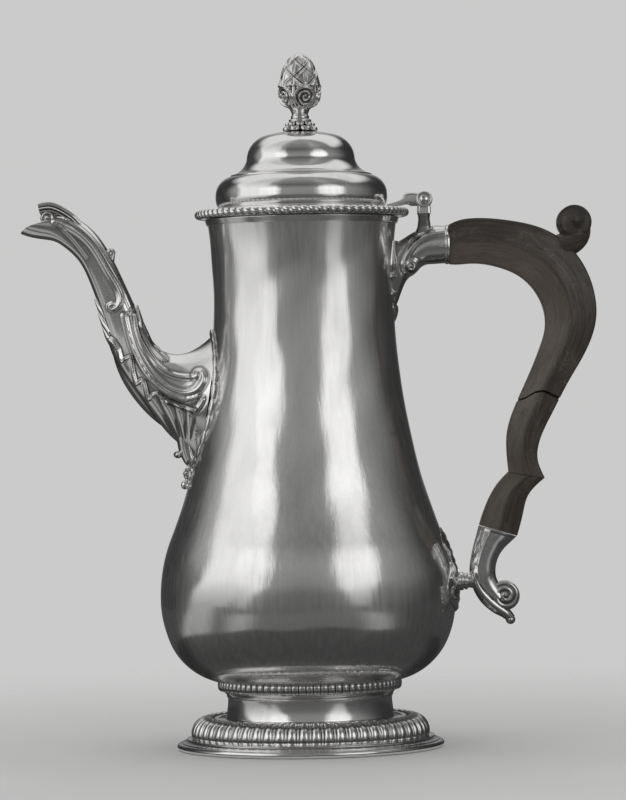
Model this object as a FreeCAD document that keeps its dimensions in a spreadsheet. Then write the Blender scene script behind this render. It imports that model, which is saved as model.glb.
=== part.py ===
import FreeCAD, Part
import math
import os
import Sketcher

# A silver coffee pot: a raised pear-shaped body on a gadrooned foot, a cast swan-neck
# spout in two soldered halves, a hinged domed lid with a bud finial, and a wooden
# double-scroll handle pinned into two cast sockets.
# Millimetres. +Z is up, the origin is the middle of the face the foot stands on,
# the spout points to -X and the handle to +X.

DOC = FreeCAD.newDocument("coffee_pot")
SHEET = DOC.addObject("Spreadsheet::Sheet", "Sizes")
UP = FreeCAD.Vector(0, 0, 1)
# One lobe of a gadroon, bead or petal: how far round its share of the circle, and how much of the dip
LOBE = [(0.0, 1.0), (0.28, 0.06), (0.72, 0.06)]
ALONG_Y = FreeCAD.Rotation(FreeCAD.Vector(1, 0, 0), -90)
NODES = []


# Driving dimensions
SIZES = {
    # Dimensions of the body
    "belly_radius": 63.8,
    "belly_height": 64.0,
    "belly_upper_arc": 72.0,
    "belly_lower_arc": 43.9,
    "belly_bottom": 28.4,
    "heel_arc": 29.5,
    "neck_radius": 38.8,
    "neck_height": 198.0,
    "neck_flare_arc": 217.0,
    "lip_height": 228.5,
    "body_wall": 0.8,
    "neck_band_height": 2.8,
    "neck_band_stand": 1.0,
    # Dimensions of the foot
    "foot_radius": 57.7,
    "foot_edge": 2.8,
    "foot_rim_height": 4.9,
    "foot_step_inset": 4.9,
    "foot_cavetto_depth": 0.6,
    "foot_rim_ledge": 0.9,
    "foot_shoulder_inset": 9.6,
    "foot_shoulder_height": 6.1,
    "foot_shelf_width": 7.8,
    "foot_neck_fillet": 2.0,
    "foot_wall": 1.2,
    "foot_lobe_reach": 7.4,
    "foot_lobe_stand": 1.2,
    "foot_lobe_back": 1.0,
    "foot_lobe_count": 60,
    "collar_drop": 6.0,
    "collar_flare_width": 3.4,
    "collar_flare_height": 2.7,
    "collar_cavetto_depth": 0.5,
    "collar_ledge": 0.7,
    "collar_bead_width": 3.0,
    "collar_bead_radius": 1.7,
    "collar_bead_count": 66,
    # Dimensions of the lid and its finial
    "lid_gap": 0.25,
    "lid_overhang": 2.5,
    "lid_flange": 2.0,
    "lid_flange_slope": 0.8,
    "lid_wall": 0.8,
    "lid_foot_inset": 5.05,
    "lid_foot_height": 4.4,
    "lid_drum_inset": 3.85,
    "lid_drum_height": 9.6,
    "lid_drum_arc": 8.5,
    "lid_shoulder_inset": 9.95,
    "lid_shoulder_height": 17.9,
    "lid_cove_arc": 9.0,
    "lid_crown_inset": 17.55,
    "lid_crown_height": 25.4,
    "lid_crown_edge_inset": 26.95,
    "lid_crown_arc": 11.0,
    "lid_height": 37.6,
    "lid_top_arc": 60.0,
    "lid_bead_radius": 1.7,
    "lid_bead_count": 76,
    "bezel_depth": 7.2,
    "bezel_taper": 1.1,
    "bezel_clearance": 0.6,
    "bezel_wall": 0.9,
    "rosette_radius": 7.8,
    "rosette_height": 4.4,
    "rosette_petal_count": 8,
    "bud_stem_radius": 4.2,
    "bud_radius": 8.8,
    "bud_height": 29.3,
    "bud_leaf_count": 6,
    "bud_leaf_dip": 1.3,
    "stud_radius": 1.6,
    "stud_depth": 9.0,
    "nut_width": 7.5,
    "nut_height": 2.6,
    "seat_clearance": 0.05,
    # Dimensions of the lid hinge
    "hinge_setback": 6.4,
    "hinge_rise": 6.8,
    "knuckle_radius": 3.5,
    "knuckle_width": 4.8,
    "middle_knuckle_width": 5.0,
    "knuckle_gap": 0.2,
    "hinge_pin_radius": 1.3,
    "hinge_pin_clearance": 0.05,
    "hinge_pin_head": 2.6,
    "hinge_pin_dome": 1.1,
    "post_thickness": 4.4,
    "post_foot_width": 8.5,
    "saddle_gap": 0.4,
    "leaf_thickness": 1.7,
    # Dimensions of the handle sockets, plates and pins
    "upper_socket_reach": 10.6,
    "upper_socket_drop": 12.5,
    "upper_socket_radius": 8.4,
    "upper_socket_root_drop": 8.8,
    "upper_socket_root_width": 12.0,
    "upper_tenon_radius": 6.3,
    "upper_tenon_length": 11.0,
    "upper_volute_radius": 2.8,
    "upper_volute_width": 15.6,
    "drop_plate_width": 12.0,
    "drop_plate_length": 23.0,
    "plate_thickness": 1.2,
    "lower_socket_width": 16.0,
    "lower_tenon_radius": 4.2,
    "lower_tenon_length": 9.0,
    "lower_tenon_tilt": 25.0,
    "scroll_width": 9.2,
    "scroll_radius": 6.4,
    "scroll_eye_radius": 2.2,
    "scroll_eye_stand": 0.8,
    "strut_radius": 2.6,
    "strut_knop_width": 3.0,
    "cartouche_width": 17.0,
    "cartouche_length": 31.0,
    "peg_radius": 1.1,
    "peg_stand": 0.5,
    # Dimensions of the wooden handle
    "handle_reach": 51.8,
    "handle_width": 17.0,
    "handle_bevel": 4.2,
    "thumb_radius": 7.3,
    "thumb_width": 14.0,
    "thumb_out": 8.4,
    "thumb_rise": 21.3,
    "joint_gap": 0.3,
    "joint_step": 3.2,
    "dowel_radius": 2.4,
    "dowel_length": 22.0,
    # Dimensions of the spout
    "spout_reach": 76.9,
    "spout_seat_depth": 8.0,
    "spout_wall": 1.3,
    "spout_leaf_stand": 0.8,
    "spout_rib_width": 2.4,
    "spout_rib_arc": 52.0,
    "spout_volute_radius": 3.5,
    "spout_volute_width": 8.0,
    "spout_bead_radius": 1.9,
}


class Size:
    """A number together with the expression that ties it to the sheet."""

    def __init__(self, value, text):
        self.value = float(value)
        self.text = text

    def combine(self, sign, other, value):
        return Size(value, "({} {} {})".format(self.text, sign, other.text))

    def __add__(self, other):
        other = size(other)
        return self.combine("+", other, self.value + other.value)

    def __radd__(self, other):
        return size(other) + self

    def __sub__(self, other):
        other = size(other)
        return self.combine("-", other, self.value - other.value)

    def __rsub__(self, other):
        return size(other) - self

    def __mul__(self, other):
        other = size(other)
        return self.combine("*", other, self.value * other.value)

    def __rmul__(self, other):
        return size(other) * self

    def __truediv__(self, other):
        other = size(other)
        return self.combine("/", other, self.value / other.value)

    def __neg__(self):
        return Size(-self.value, "(-{})".format(self.text))

    def __abs__(self):
        return self if self.value >= 0 else -self


def size(thing):
    """A plain number as a Size; a Size stays as it is."""
    if isinstance(thing, Size):
        return thing
    return Size(thing, repr(float(thing)))


def root(square):
    return Size(math.sqrt(square.value), "sqrt({})".format(square.text))


def leg(slope, other):
    """Third side of a right-angled triangle from its longest side and another."""
    return root(slope * slope - other * other)


def sag_radius(start, end, sag):
    """Radius of the arc between two corners that bows by sag from the line joining them."""
    across = size(end[0]) - start[0]
    rise = size(end[1]) - start[1]
    return (across * across + rise * rise) / (8 * sag) + sag / 2


def sine(angle):
    return Size(math.sin(math.radians(angle.value)), "sin({})".format(angle.text))


def cosine(angle):
    return Size(math.cos(math.radians(angle.value)), "cos({})".format(angle.text))


class Sheet:
    """The driving dimensions, entered in the sheet one to a row and read back as Sizes by name."""

    def __init__(self, table):
        self.row = 0
        for name, value in table.items():
            setattr(self, name, self.enter(name, value))
        DOC.recompute()

    def enter(self, name, value):
        self.row += 1
        SHEET.set("A{}".format(self.row), name)
        SHEET.set("B{}".format(self.row), repr(float(value)))
        SHEET.setAlias("B{}".format(self.row), name)
        return Size(value, "Sizes." + name)


S = Sheet(SIZES)


def station(group, name, **sizes):
    """The driving dimensions of one cross-section of a lofted piece."""
    return {key: S.enter("{}_{}_{}".format(group, name, key), value) for key, value in sizes.items()}


# Spout cross-sections from the body to the mouth: distance out from the neck, or back from the spout's
# full reach, height above the belly, lean from upright, half the depth seen from the side, half the width
SPOUT = [
    station("spout", "root", out=2.2, up=88.3, lean=9.0, depth=30.0, wide=16.0),
    station("spout", "base", out=14.2, up=89.9, lean=13.8, depth=18.9, wide=12.5),
    station("spout", "swell", out=23.2, up=93.8, lean=18.6, depth=14.1, wide=11.0),
    station("spout", "bend", out=33.0, up=104.3, lean=37.0, depth=10.4, wide=9.2),
    station("spout", "rise", out=37.7, up=116.2, lean=62.8, depth=8.4, wide=7.8),
    station("spout", "throat", out=42.8, up=130.4, lean=66.8, depth=7.2, wide=7.0),
    station("spout", "stem", out=47.5, up=142.2, lean=66.0, depth=6.7, wide=6.5),
    station("spout", "crook", out=52.4, up=151.5, lean=52.7, depth=6.6, wide=6.2),
    station("spout", "arch", back=16.4, up=159.6, lean=33.7, depth=6.7, wide=6.0),
    station("spout", "lip", back=8.9, up=162.6, lean=18.0, depth=6.0, wide=5.8),
    station("spout", "mouth", back=0.0, up=162.0, lean=70.7, depth=6.2, wide=5.0),
]

# Corners of the scalloped leaf that wraps the lower front of the spout, and the ends of its two scroll ribs
SPOUT_LEAF = [
    station("spout_leaf", "tip", out=48.7, up=115.0),
    station("spout_leaf", "second", out=40.1, up=105.0),
    station("spout_leaf", "third", out=33.4, up=99.0),
    station("spout_leaf", "fourth", out=27.2, up=89.5),
    station("spout_leaf", "fifth", out=19.7, up=85.5),
    station("spout_leaf", "root", out=7.2, up=82.0),
]
RIBS = [
    station("spout_rib", "tip", back=12.7, up=161.5),
    station("spout_rib", "curl", out=42.2, up=127.5),
    station("spout_rib", "root", out=7.2, up=87.5),
]

# Handle cross-sections. The upper ones are measured outwards from the mouth of the upper socket, or back
# from the handle's full reach, and down from the lip, the lower ones outwards and up from the belly
HANDLE_UPPER = [
    station("handle", "neck", out=9.1, down=11.0, lean=2.4, depth=9.7),
    station("handle", "arm", out=23.7, down=12.5, lean=15.5, depth=10.3),
    station("handle", "shoulder", out=35.8, down=16.6, lean=30.0, depth=11.4),
    station("handle", "turn", back=6.4, down=24.9, lean=45.7, depth=12.0),
    station("handle", "back", back=0.7, down=36.9, lean=70.4, depth=11.5),
    station("handle", "waist", back=0.0, down=47.5, lean=82.0, depth=11.0),
    station("handle", "hollow", back=3.7, down=58.9, lean=94.0, depth=9.9),
    station("handle", "fall", out=42.3, down=70.3, lean=96.5, depth=8.8),
]
HANDLE_LOWER = [
    station("handle", "scarf", out=34.8, up=80.0, lean=97.0, depth=8.2),
    station("handle", "grip", out=30.2, up=68.0, lean=98.0, depth=7.1),
    station("handle", "narrow", out=29.7, up=59.2, lean=98.7, depth=6.6),
    station("handle", "spur", out=31.4, up=52.2, lean=100.7, depth=7.8),
]
HANDLE_FOOT = [
    station("handle", "curl", out=23.7, up=44.1, lean=94.5, depth=7.7),
    station("handle", "heel", out=20.1, up=35.3, lean=97.0, depth=8.7),
    station("handle", "end", out=18.5, up=28.1, lean=107.0, depth=8.5),
]
LOWER_SOCKET = [
    station("lower_socket", "waist", out=13.8, up=19.8, lean=98.0, depth=6.6, wide=6.6),
    station("lower_socket", "stem", out=11.8, up=10.5, lean=90.0, depth=5.75, wide=5.6),
    station("lower_socket", "foot", out=11.6, up=5.0, lean=90.0, depth=5.4, wide=5.2),
]
DOC.recompute()

# Heights and radii that follow from the driving dimensions
lip_rise = S.lip_height - S.neck_height
lip_radius = S.neck_radius + S.neck_flare_arc - leg(S.neck_flare_arc, lip_rise)
foot_step_radius = S.foot_radius - S.foot_step_inset
foot_shoulder_radius = foot_step_radius - S.foot_shoulder_inset
foot_neck_radius = foot_shoulder_radius - S.foot_shelf_width
collar_flare_radius = foot_neck_radius + S.collar_flare_width
collar_bead_ring = foot_neck_radius + S.collar_bead_width
lid_foot_radius = lip_radius - S.lid_foot_inset
lid_drum_radius = lip_radius - S.lid_drum_inset
lid_shoulder_radius = lip_radius - S.lid_shoulder_inset
lid_crown_radius = lip_radius - S.lid_crown_inset
lid_crown_edge_radius = lip_radius - S.lid_crown_edge_inset
collar_bottom = S.belly_bottom - S.collar_drop
lid_base = S.lip_height + S.lid_gap
lid_top = lid_base + S.lid_height
lid_flange_radius = lip_radius + S.lid_overhang
lid_bead_ring = lid_flange_radius + 0.75 * S.lid_bead_radius
hinge_out = lid_bead_ring + S.lid_bead_radius + S.hinge_setback
hinge_up = lid_base + S.hinge_rise
hinge_half = S.middle_knuckle_width / 2 + S.knuckle_gap + S.knuckle_width
upper_mouth_out = hinge_out + S.upper_socket_reach
upper_mouth_up = S.lip_height - S.upper_socket_drop


def standing(each, out, reach):
    """A cross-section's sizes with its middle measured from the pot's axis and standing face.

    It lies outwards from a radius, or back from a full reach beyond it, and above the belly or below the
    lip."""
    away = out + each["out"] if "out" in each else out + reach - each["back"]
    rise = S.belly_height + each["up"] if "up" in each else S.lip_height - each["down"]
    return dict(each, out=away, up=rise)


SPOUT = [standing(each, S.neck_radius, S.spout_reach) for each in SPOUT]
SPOUT_LEAF = [standing(each, S.neck_radius, S.spout_reach) for each in SPOUT_LEAF]
RIB_TIP, RIB_CURL, RIB_ROOT = [standing(each, S.neck_radius, S.spout_reach) for each in RIBS]
HANDLE_UPPER = [standing(each, upper_mouth_out, S.handle_reach) for each in HANDLE_UPPER]
HANDLE_LOWER = [standing(each, S.belly_radius, S.handle_reach) for each in HANDLE_LOWER]
HANDLE_FOOT = [standing(each, S.belly_radius, S.handle_reach) for each in HANDLE_FOOT]
LOWER_SOCKET = [standing(each, S.belly_radius, S.handle_reach) for each in LOWER_SOCKET]


def bind(target, name, value):
    """Set a property path of an object to a Size and keep it tied to the sheet."""
    target.setExpression(name, size(value).text)


def arc_between(start, end, radius):
    """Arc from start to end that turns left for a positive radius and right for a negative one."""
    chord = end - start
    rise = math.sqrt(radius ** 2 - chord.Length ** 2 / 4)
    left = FreeCAD.Vector(-chord.y, chord.x, 0) / chord.Length
    centre = (start + end) / 2 + left * math.copysign(rise, radius)
    circle = Part.Circle(centre, UP, abs(radius))
    first, last = (start, end) if radius > 0 else (end, start)
    return Part.ArcOfCircle(circle, circle.parameter(first), circle.parameter(last))


def constrain(sketch, kind, where, value):
    """Add one dimension to a sketch and tie it to the sheet."""
    index = sketch.addConstraint(Sketcher.Constraint(kind, *where, value.value))
    if "Sizes." in value.text:
        bind(sketch, "Constraints[{}]".format(index), value)


def draw(sketch, corners):
    """Draw a closed outline. A corner is (x, y), or (x, y, radius) where an arc arrives at it."""
    corners = [[size(part) for part in corner] for corner in corners]
    points = [FreeCAD.Vector(corner[0].value, corner[1].value, 0) for corner in corners]
    edges = []
    for index, corner in enumerate(corners):
        before = points[index - 1]
        if len(corner) == 2:
            edge = sketch.addGeometry(Part.LineSegment(before, points[index]))
            edges.append((edge, 1, 2))
            continue
        edge = sketch.addGeometry(arc_between(before, points[index], corner[2].value))
        constrain(sketch, "Radius", (edge,), abs(corner[2]))
        edges.append((edge, 1, 2) if corner[2].value > 0 else (edge, 2, 1))
    for index, (edge, start, end) in enumerate(edges):
        following, next_start, _ = edges[(index + 1) % len(edges)]
        sketch.addConstraint(Sketcher.Constraint("Coincident", edge, end, following, next_start))
        constrain(sketch, "DistanceX", (-1, 1, edge, end), corners[index][0])
        constrain(sketch, "DistanceY", (-1, 1, edge, end), corners[index][1])


def mirrored(corners):
    """A right-hand half outline, from its top to its bottom on the middle line, with its left half added."""
    left = []
    for index in range(len(corners) - 2, 0, -1):
        left.append((-size(corners[index][0]), corners[index][1]) + tuple(corners[index + 1][2:]))
    top = (corners[0][0], corners[0][1]) + tuple(corners[1][2:])
    return [top] + corners[1:] + left


def new_body(name):
    return DOC.addObject("PartDesign::Body", name)


def origin_plane(body, role):
    return next(feature for feature in body.Origin.OriginFeatures if feature.Role == role)


def sketch_on(body, name, role, corners):
    """A closed outline on one of the body's own origin planes."""
    sketch = body.newObject("Sketcher::SketchObject", name)
    sketch.AttachmentSupport = [(origin_plane(body, role), "")]
    sketch.MapMode = "FlatFace"
    draw(sketch, corners)
    return sketch


def lathe(name, corners):
    """A body turned round the pot's axis from an outline of (radius, height) corners."""
    body = new_body(name)
    turn = body.newObject("PartDesign::Revolution", name + "_turn")
    profile = sketch_on(body, name + "_profile", "XZ_Plane", corners)
    turn.Profile = profile
    turn.ReferenceAxis = (profile, ["V_Axis"])
    turn.Angle = 360
    DOC.recompute()
    return body


def padded(name, role, corners, length):
    """A body padded evenly to both sides of an origin plane."""
    body = new_body(name)
    pad = body.newObject("PartDesign::Pad", name + "_pad")
    pad.Profile = sketch_on(body, name + "_outline", role, corners)
    pad.SideType = "Symmetric"
    bind(pad, "Length", length)
    DOC.recompute()
    return body


def oval(depth, wide):
    """Section of four arcs, round at the sides, with a soft ridge above and below where it is deep."""
    arc = (wide * wide + depth * depth) / (2 * wide)
    return [(wide, 0, arc), (0, depth, arc), (-wide, 0, arc), (0, -depth, arc)]


def bevelled(depth, wide, bevel):
    """Rectangular section with bevelled corners."""
    side = wide - bevel
    rise = depth - bevel
    return [(side, -depth), (wide, -rise), (wide, rise), (side, depth),
            (-side, depth), (-wide, rise), (-wide, -rise), (-side, -depth)]


def section(body, name, out, up, lean, corners):
    """An outline across the view from the side, centred at (out, up) and leaning from upright."""
    sketch = sketch_on(body, name, "YZ_Plane", corners)
    lean = size(lean)
    place = FreeCAD.Vector(0, size(up).value, size(out).value)
    sketch.AttachmentOffset = FreeCAD.Placement(place, FreeCAD.Rotation(FreeCAD.Vector(1, 0, 0), 1))
    bind(sketch, "AttachmentOffset.Base.y", up)
    bind(sketch, "AttachmentOffset.Base.z", out)
    bind(sketch, "AttachmentOffset.Rotation.Angle", lean)
    return sketch


def loft(name, sections):
    """A body lofted through sections given as (out, up, lean, corners)."""
    body = new_body(name)
    sketches = [section(body, "{}_{}".format(name, index), *each) for index, each in enumerate(sections)]
    DOC.recompute()
    skin = body.newObject("PartDesign::AdditiveLoft", name + "_loft")
    skin.Profile = sketches[0]
    skin.Sections = sketches[1:]
    DOC.recompute()
    return body


def boolean(kind, name, base, tool):
    """Part::Cut, Part::Fuse or Part::Common of two objects."""
    result = DOC.addObject("Part::" + kind, name)
    result.Base = base
    result.Tool = tool
    DOC.recompute()
    return result


def cut(name, base, *tools):
    for index, tool in enumerate(tools):
        last = index == len(tools) - 1
        base = boolean("Cut", name if last else "{}_cut_{}".format(name, index), base, tool)
    return base


def fuse(name, *shapes):
    joined = DOC.addObject("Part::MultiFuse", name)
    joined.Shapes = list(shapes)
    DOC.recompute()
    return joined


def placed(obj, out, across, up, rotation=None):
    """Put an object's own origin at a point and keep it tied to the sheet."""
    spot = [size(out), size(across), size(up)]
    base = FreeCAD.Vector(*[each.value for each in spot])
    obj.Placement = FreeCAD.Placement(base, rotation or FreeCAD.Rotation())
    for axis, each in zip("xyz", spot):
        if "Sizes." in each.text:
            bind(obj, "Placement.Base." + axis, each)
    return obj


def cylinder(name, radius, length, out, across, up, rotation=None):
    rod = DOC.addObject("Part::Cylinder", name)
    bind(rod, "Radius", radius)
    bind(rod, "Height", length)
    return placed(rod, out, across, up, rotation)


def cross_rod(name, radius, length, out, up):
    """A rod across the pot, along Y, with its middle on the plane of the spout and handle."""
    return cylinder(name, radius, length, out, -size(length) / 2, up, ALONG_Y)


def node(obj, label):
    """Hand an object in as a piece of the pot."""
    obj.Label = label
    NODES.append(obj)
    return obj


def body_outline(stand):
    """Right-hand outline of the body, from the middle of its bottom to the lip, moved out by stand.

    Below the widest point two arcs meet smoothly, above it a convex arc runs into the hollow neck, and
    a last arc flares to the lip. Each joint lies on the line through the centres of its two arcs."""
    stand = size(stand)
    lower = S.belly_lower_arc - S.heel_arc
    heel_up = S.belly_bottom + S.heel_arc
    sag = S.belly_height - heel_up
    heel_in = leg(lower, sag)
    heel_out = S.belly_radius - S.belly_lower_arc + heel_in
    reach = S.belly_lower_arc + stand
    narrowing = S.belly_radius - S.neck_radius
    climb = S.neck_height - S.belly_height
    arcs = (narrowing * narrowing + climb * climb) / (2 * narrowing)
    swell = S.belly_upper_arc + stand
    flare = S.neck_flare_arc - stand
    return [
        (0, S.belly_bottom - stand),
        (heel_out, S.belly_bottom - stand),
        (S.belly_radius - S.belly_lower_arc + reach * heel_in / lower, S.belly_height - reach * sag / lower,
         S.heel_arc + stand),
        (S.belly_radius + stand, S.belly_height, reach),
        (S.belly_radius + stand - swell * narrowing / arcs, S.belly_height + swell * climb / arcs, swell),
        (S.neck_radius + stand, S.neck_height, -(arcs - swell)),
        (S.neck_radius + S.neck_flare_arc - leg(flare, lip_rise), S.lip_height, -flare),
    ]


def reversed_path(corners):
    """The same path walked the other way, with every arc turned to match."""
    path = []
    for index in range(len(corners) - 1, -1, -1):
        after = corners[index + 1][2:] if index + 1 < len(corners) else ()
        path.append(tuple(corners[index][:2]) + tuple(-each for each in after))
    return path


def envelope(name, stand):
    """Solid inside the body's outline moved out by stand."""
    return lathe(name, body_outline(stand) + [(0, S.lip_height)])


def body_pieces(spout_bore):
    """Raised body with its spout hole, and the plain band round its lip."""
    shell = lathe("body_blank", body_outline(0) + reversed_path(body_outline(-S.body_wall)))
    node(cut("body_shell_piece", shell, spout_bore), "body_shell")
    band_foot = S.lip_height - S.neck_band_height
    band_rise = band_foot - S.neck_height
    band_bore = S.neck_radius + S.neck_flare_arc - leg(S.neck_flare_arc, band_rise)
    band_radius = lip_radius + S.neck_band_stand
    round_edge = S.neck_band_stand / 2
    node(lathe("neck_band_piece", [
        (band_bore + S.seat_clearance, band_foot),
        (band_radius - round_edge, band_foot),
        (band_radius, band_foot + round_edge, round_edge),
        (band_radius, S.lip_height - round_edge),
        (band_radius - round_edge, S.lip_height, round_edge),
        (lip_radius + S.seat_clearance, S.lip_height),
    ]), "neck_band")


def star(count, crest, dip, up):
    """Closed outline with one lobe per count: crest is its largest radius, dip the depth between lobes."""
    points = []
    for lobe in range(round(count.value)):
        for turn, sunk in LOBE:
            angle = 2 * math.pi * (lobe + turn) / count.value
            radius = size(crest - dip * sunk).value
            points.append(FreeCAD.Vector(radius * math.cos(angle), radius * math.sin(angle), size(up).value))
    return Part.makePolygon(points + points[:1])


def lobed(label, count, levels):
    """Ring with lobes all round it, lofted through levels of (crest radius, dip, height) and closed."""
    rows = [star(count, *level) for level in levels]
    ring = DOC.addObject("Part::Feature", label + "_piece")
    ring.Shape = Part.makeLoft(rows, True, True, True)
    node(ring, label)


def beaded(label, ring, up, bead, count, inner):
    """Row of beads in a ring, as lobes whose crests follow the beads' round outline."""
    levels = [(inner, 0, up - 0.8 * bead)]
    for angle in (-55.0, 0.0, 55.0):
        across = cosine(size(angle)) * bead
        levels.append((ring + across, across * 0.6, up + sine(size(angle)) * bead))
    lobed(label, count, levels + [(inner, 0, up + 0.8 * bead)])


def foot_pieces():
    """Base rim, gadrooned shoulder, raised foot with its neck, moulded collar and its beaded wire."""
    rim_top = S.foot_rim_height
    half_edge = S.foot_edge / 2
    centre_out = foot_shoulder_radius
    centre_up = S.foot_shoulder_height
    outer = S.foot_lobe_reach - S.foot_lobe_back
    inner = outer - S.foot_wall
    rim_bore = centre_out + inner - S.foot_rim_ledge
    edge_top = (S.foot_radius - half_edge, S.foot_edge)
    step = (foot_step_radius, rim_top)
    node(lathe("foot_rim_piece", [
        (rim_bore, 0),
        (S.foot_radius - half_edge, 0),
        (S.foot_radius, half_edge, half_edge),
        edge_top + (half_edge,),
        step + (-sag_radius(edge_top, step, S.foot_cavetto_depth),),
        (rim_bore, rim_top),
    ]), "foot_rim")

    neck_inner = foot_neck_radius - S.foot_wall
    shelf = centre_up + outer
    node(lathe("foot_shell_piece", [
        (foot_neck_radius, collar_bottom),
        (neck_inner, collar_bottom),
        (neck_inner, shelf - S.foot_wall),
        (centre_out, centre_up + inner),
        (centre_out + inner, centre_up, -inner),
        (centre_out + inner, rim_top),
        (centre_out + outer, rim_top),
        (centre_out + outer, centre_up),
        (centre_out, shelf, outer),
        (foot_neck_radius + S.foot_neck_fillet, shelf),
        (foot_neck_radius, shelf + S.foot_neck_fillet, -S.foot_neck_fillet),
    ]), "foot_shell")

    crest = S.foot_lobe_reach + S.foot_lobe_stand
    back = outer / cosine(size(15.0)) + S.seat_clearance
    levels = [(centre_out + back, 0, rim_top),
              (centre_out + crest, 0.7 * S.foot_lobe_stand, rim_top + S.foot_lobe_stand / 4)]
    for angle in (5.0, 27.0, 49.0, 71.0):
        out = centre_out + crest * cosine(size(angle))
        levels.append((out, S.foot_lobe_stand, centre_up + crest * sine(size(angle))))
    for angle in (90.0, 60.0, 30.0, 0.0):
        levels.append((centre_out + back * cosine(size(angle)), 0, centre_up + back * sine(size(angle))))
    lobed("foot_gadroon", S.foot_lobe_count, levels)

    bead_seat = collar_bead_ring - S.collar_bead_radius
    collar_bore = foot_neck_radius - S.foot_wall - S.collar_ledge
    foot = (foot_neck_radius + S.neck_band_stand / 2, collar_bottom)
    flare = (collar_flare_radius, collar_bottom + S.collar_flare_height)
    collar = lathe("foot_collar_blank", [
        (collar_bore, collar_bottom),
        foot,
        flare + (-sag_radius(foot, flare, S.collar_cavetto_depth),),
        (bead_seat, collar_bottom + S.collar_flare_height),
        (bead_seat, S.belly_bottom + S.collar_drop),
        (collar_bore, S.belly_bottom + S.collar_drop),
    ])
    node(cut("foot_collar_piece", collar, BODY), "foot_collar")

    bead_up = collar_bottom + S.collar_flare_height + S.collar_bead_radius
    beaded("collar_gadroon", collar_bead_ring, bead_up, S.collar_bead_radius, S.collar_bead_count,
           bead_seat + S.seat_clearance)


def spout_sections(stand):
    """The spout's sections with every half size moved out by stand."""
    return [[-each["out"], each["up"], each["lean"], oval(each["depth"] + stand, each["wide"] + stand)]
            for each in SPOUT]


def spout_channel():
    """The spout's bore: a narrowing entrance through the body's wall, then a channel to past the mouth."""
    sections = spout_sections(-S.spout_wall)[2:]
    mouth = SPOUT[-1]
    sections[-1][0] = -mouth["out"] - S.spout_wall * cosine(mouth["lean"])
    sections[-1][1] = mouth["up"] + S.spout_wall * sine(mouth["lean"])
    start = sections[0]
    entrance = (-S.neck_radius * 0.8, SPOUT[1]["up"], start[2], start[3])
    return fuse("spout_channel", loft("spout_entrance", [entrance, start]), loft("spout_bore", sections))


def rib(name, start, end, bend):
    """Curved band between two points of the side view, both its edges bent to the same arc."""
    half = S.spout_rib_width / 2
    return padded(name, "XZ_Plane", [
        (-start["out"] - half, start["up"] - half),
        (-end["out"] - half, end["up"] - half, bend),
        (-end["out"] + half, end["up"] + half),
        (-start["out"] + half, start["up"] + half, -bend),
    ], 4 * SPOUT[1]["wide"])


def spout_leaf():
    """Scalloped apron over the lower front of the spout, seen from the side."""
    tip = SPOUT_LEAF[0]
    foot = SPOUT_LEAF[-1]
    edge = [(-tip["out"], tip["up"])]
    for before, after in zip(SPOUT_LEAF, SPOUT_LEAF[1:]):
        across = after["out"] - before["out"]
        drop = after["up"] - before["up"]
        edge.append((-after["out"], after["up"], -0.62 * root(across * across + drop * drop)))
    below = foot["up"] - 2 * SPOUT[1]["depth"]
    return padded("spout_leaf", "XZ_Plane",
                  edge + [(-foot["out"], below), (-tip["out"] - SPOUT[1]["depth"], below),
                          (-tip["out"] - SPOUT[1]["depth"], tip["up"])],
                  4 * SPOUT[1]["wide"])


def spout_pieces(channel):
    """Cast spout with its raised leaf and ribs, in two halves that meet on the pot's middle plane."""
    plain = loft("spout_plain", spout_sections(0))
    raised = loft("spout_raised", spout_sections(S.spout_leaf_stand))
    pattern = fuse("spout_pattern", spout_leaf(),
                   rib("spout_upper_rib", RIB_TIP, RIB_CURL, -2 * S.spout_rib_arc),
                   rib("spout_lower_rib", RIB_CURL, RIB_ROOT, S.spout_rib_arc))
    relief = boolean("Common", "spout_relief", raised, pattern)
    lip = SPOUT[-2]
    volute = cross_rod("spout_volute", S.spout_volute_radius, S.spout_volute_width,
                       -lip["out"] - S.spout_volute_radius / 2, lip["up"] + lip["depth"])
    inwards = spout_sections(0)[0]
    seat = loft("spout_seat", [[inwards[0] + S.spout_seat_depth] + inwards[1:], inwards])
    casting = cut("spout_casting", fuse("spout_whole", plain, relief, volute, seat), channel, BODY)
    far_side = DOC.addObject("Part::Box", "spout_far_side")
    reach = SPOUT[-1]["out"] * 2
    bind(far_side, "Length", reach)
    bind(far_side, "Width", reach)
    bind(far_side, "Height", reach * 2)
    placed(far_side, -reach, 0, 0)
    near = node(cut("spout_near_piece", casting, far_side), "spout_near_half")
    far = DOC.addObject("Part::Mirroring", "spout_far_piece")
    far.Source = near
    far.Normal = FreeCAD.Vector(0, 1, 0)
    node(far, "spout_far_half")

    drop_up = SPOUT[0]["up"] - SPOUT[0]["depth"] - 2 * S.spout_bead_radius
    beads = []
    for index, (rise, tall) in enumerate(((0, 1.45), (-2.1, 1.0))):
        bead = DOC.addObject("Part::Ellipsoid", "spout_bead_{}".format(index))
        bind(bead, "Radius1", S.spout_bead_radius * tall)
        bind(bead, "Radius2", S.spout_bead_radius)
        bind(bead, "Radius3", S.spout_bead_radius)
        up = drop_up + rise * S.spout_bead_radius
        beads.append(placed(bead, -body_radius_near(up) - S.spout_bead_radius / 3, 0, up))
    node(cut("spout_drop_piece", fuse("spout_beads", *beads), BODY), "spout_drop")


def body_radius_near(up):
    """Radius of the body's hollow upper part at a height."""
    narrowing = S.belly_radius - S.neck_radius
    climb = S.neck_height - S.belly_height
    arc = (narrowing * narrowing + climb * climb) / (2 * narrowing) - S.belly_upper_arc
    fall = S.neck_height - up
    return S.neck_radius + arc - leg(arc, fall)


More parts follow.
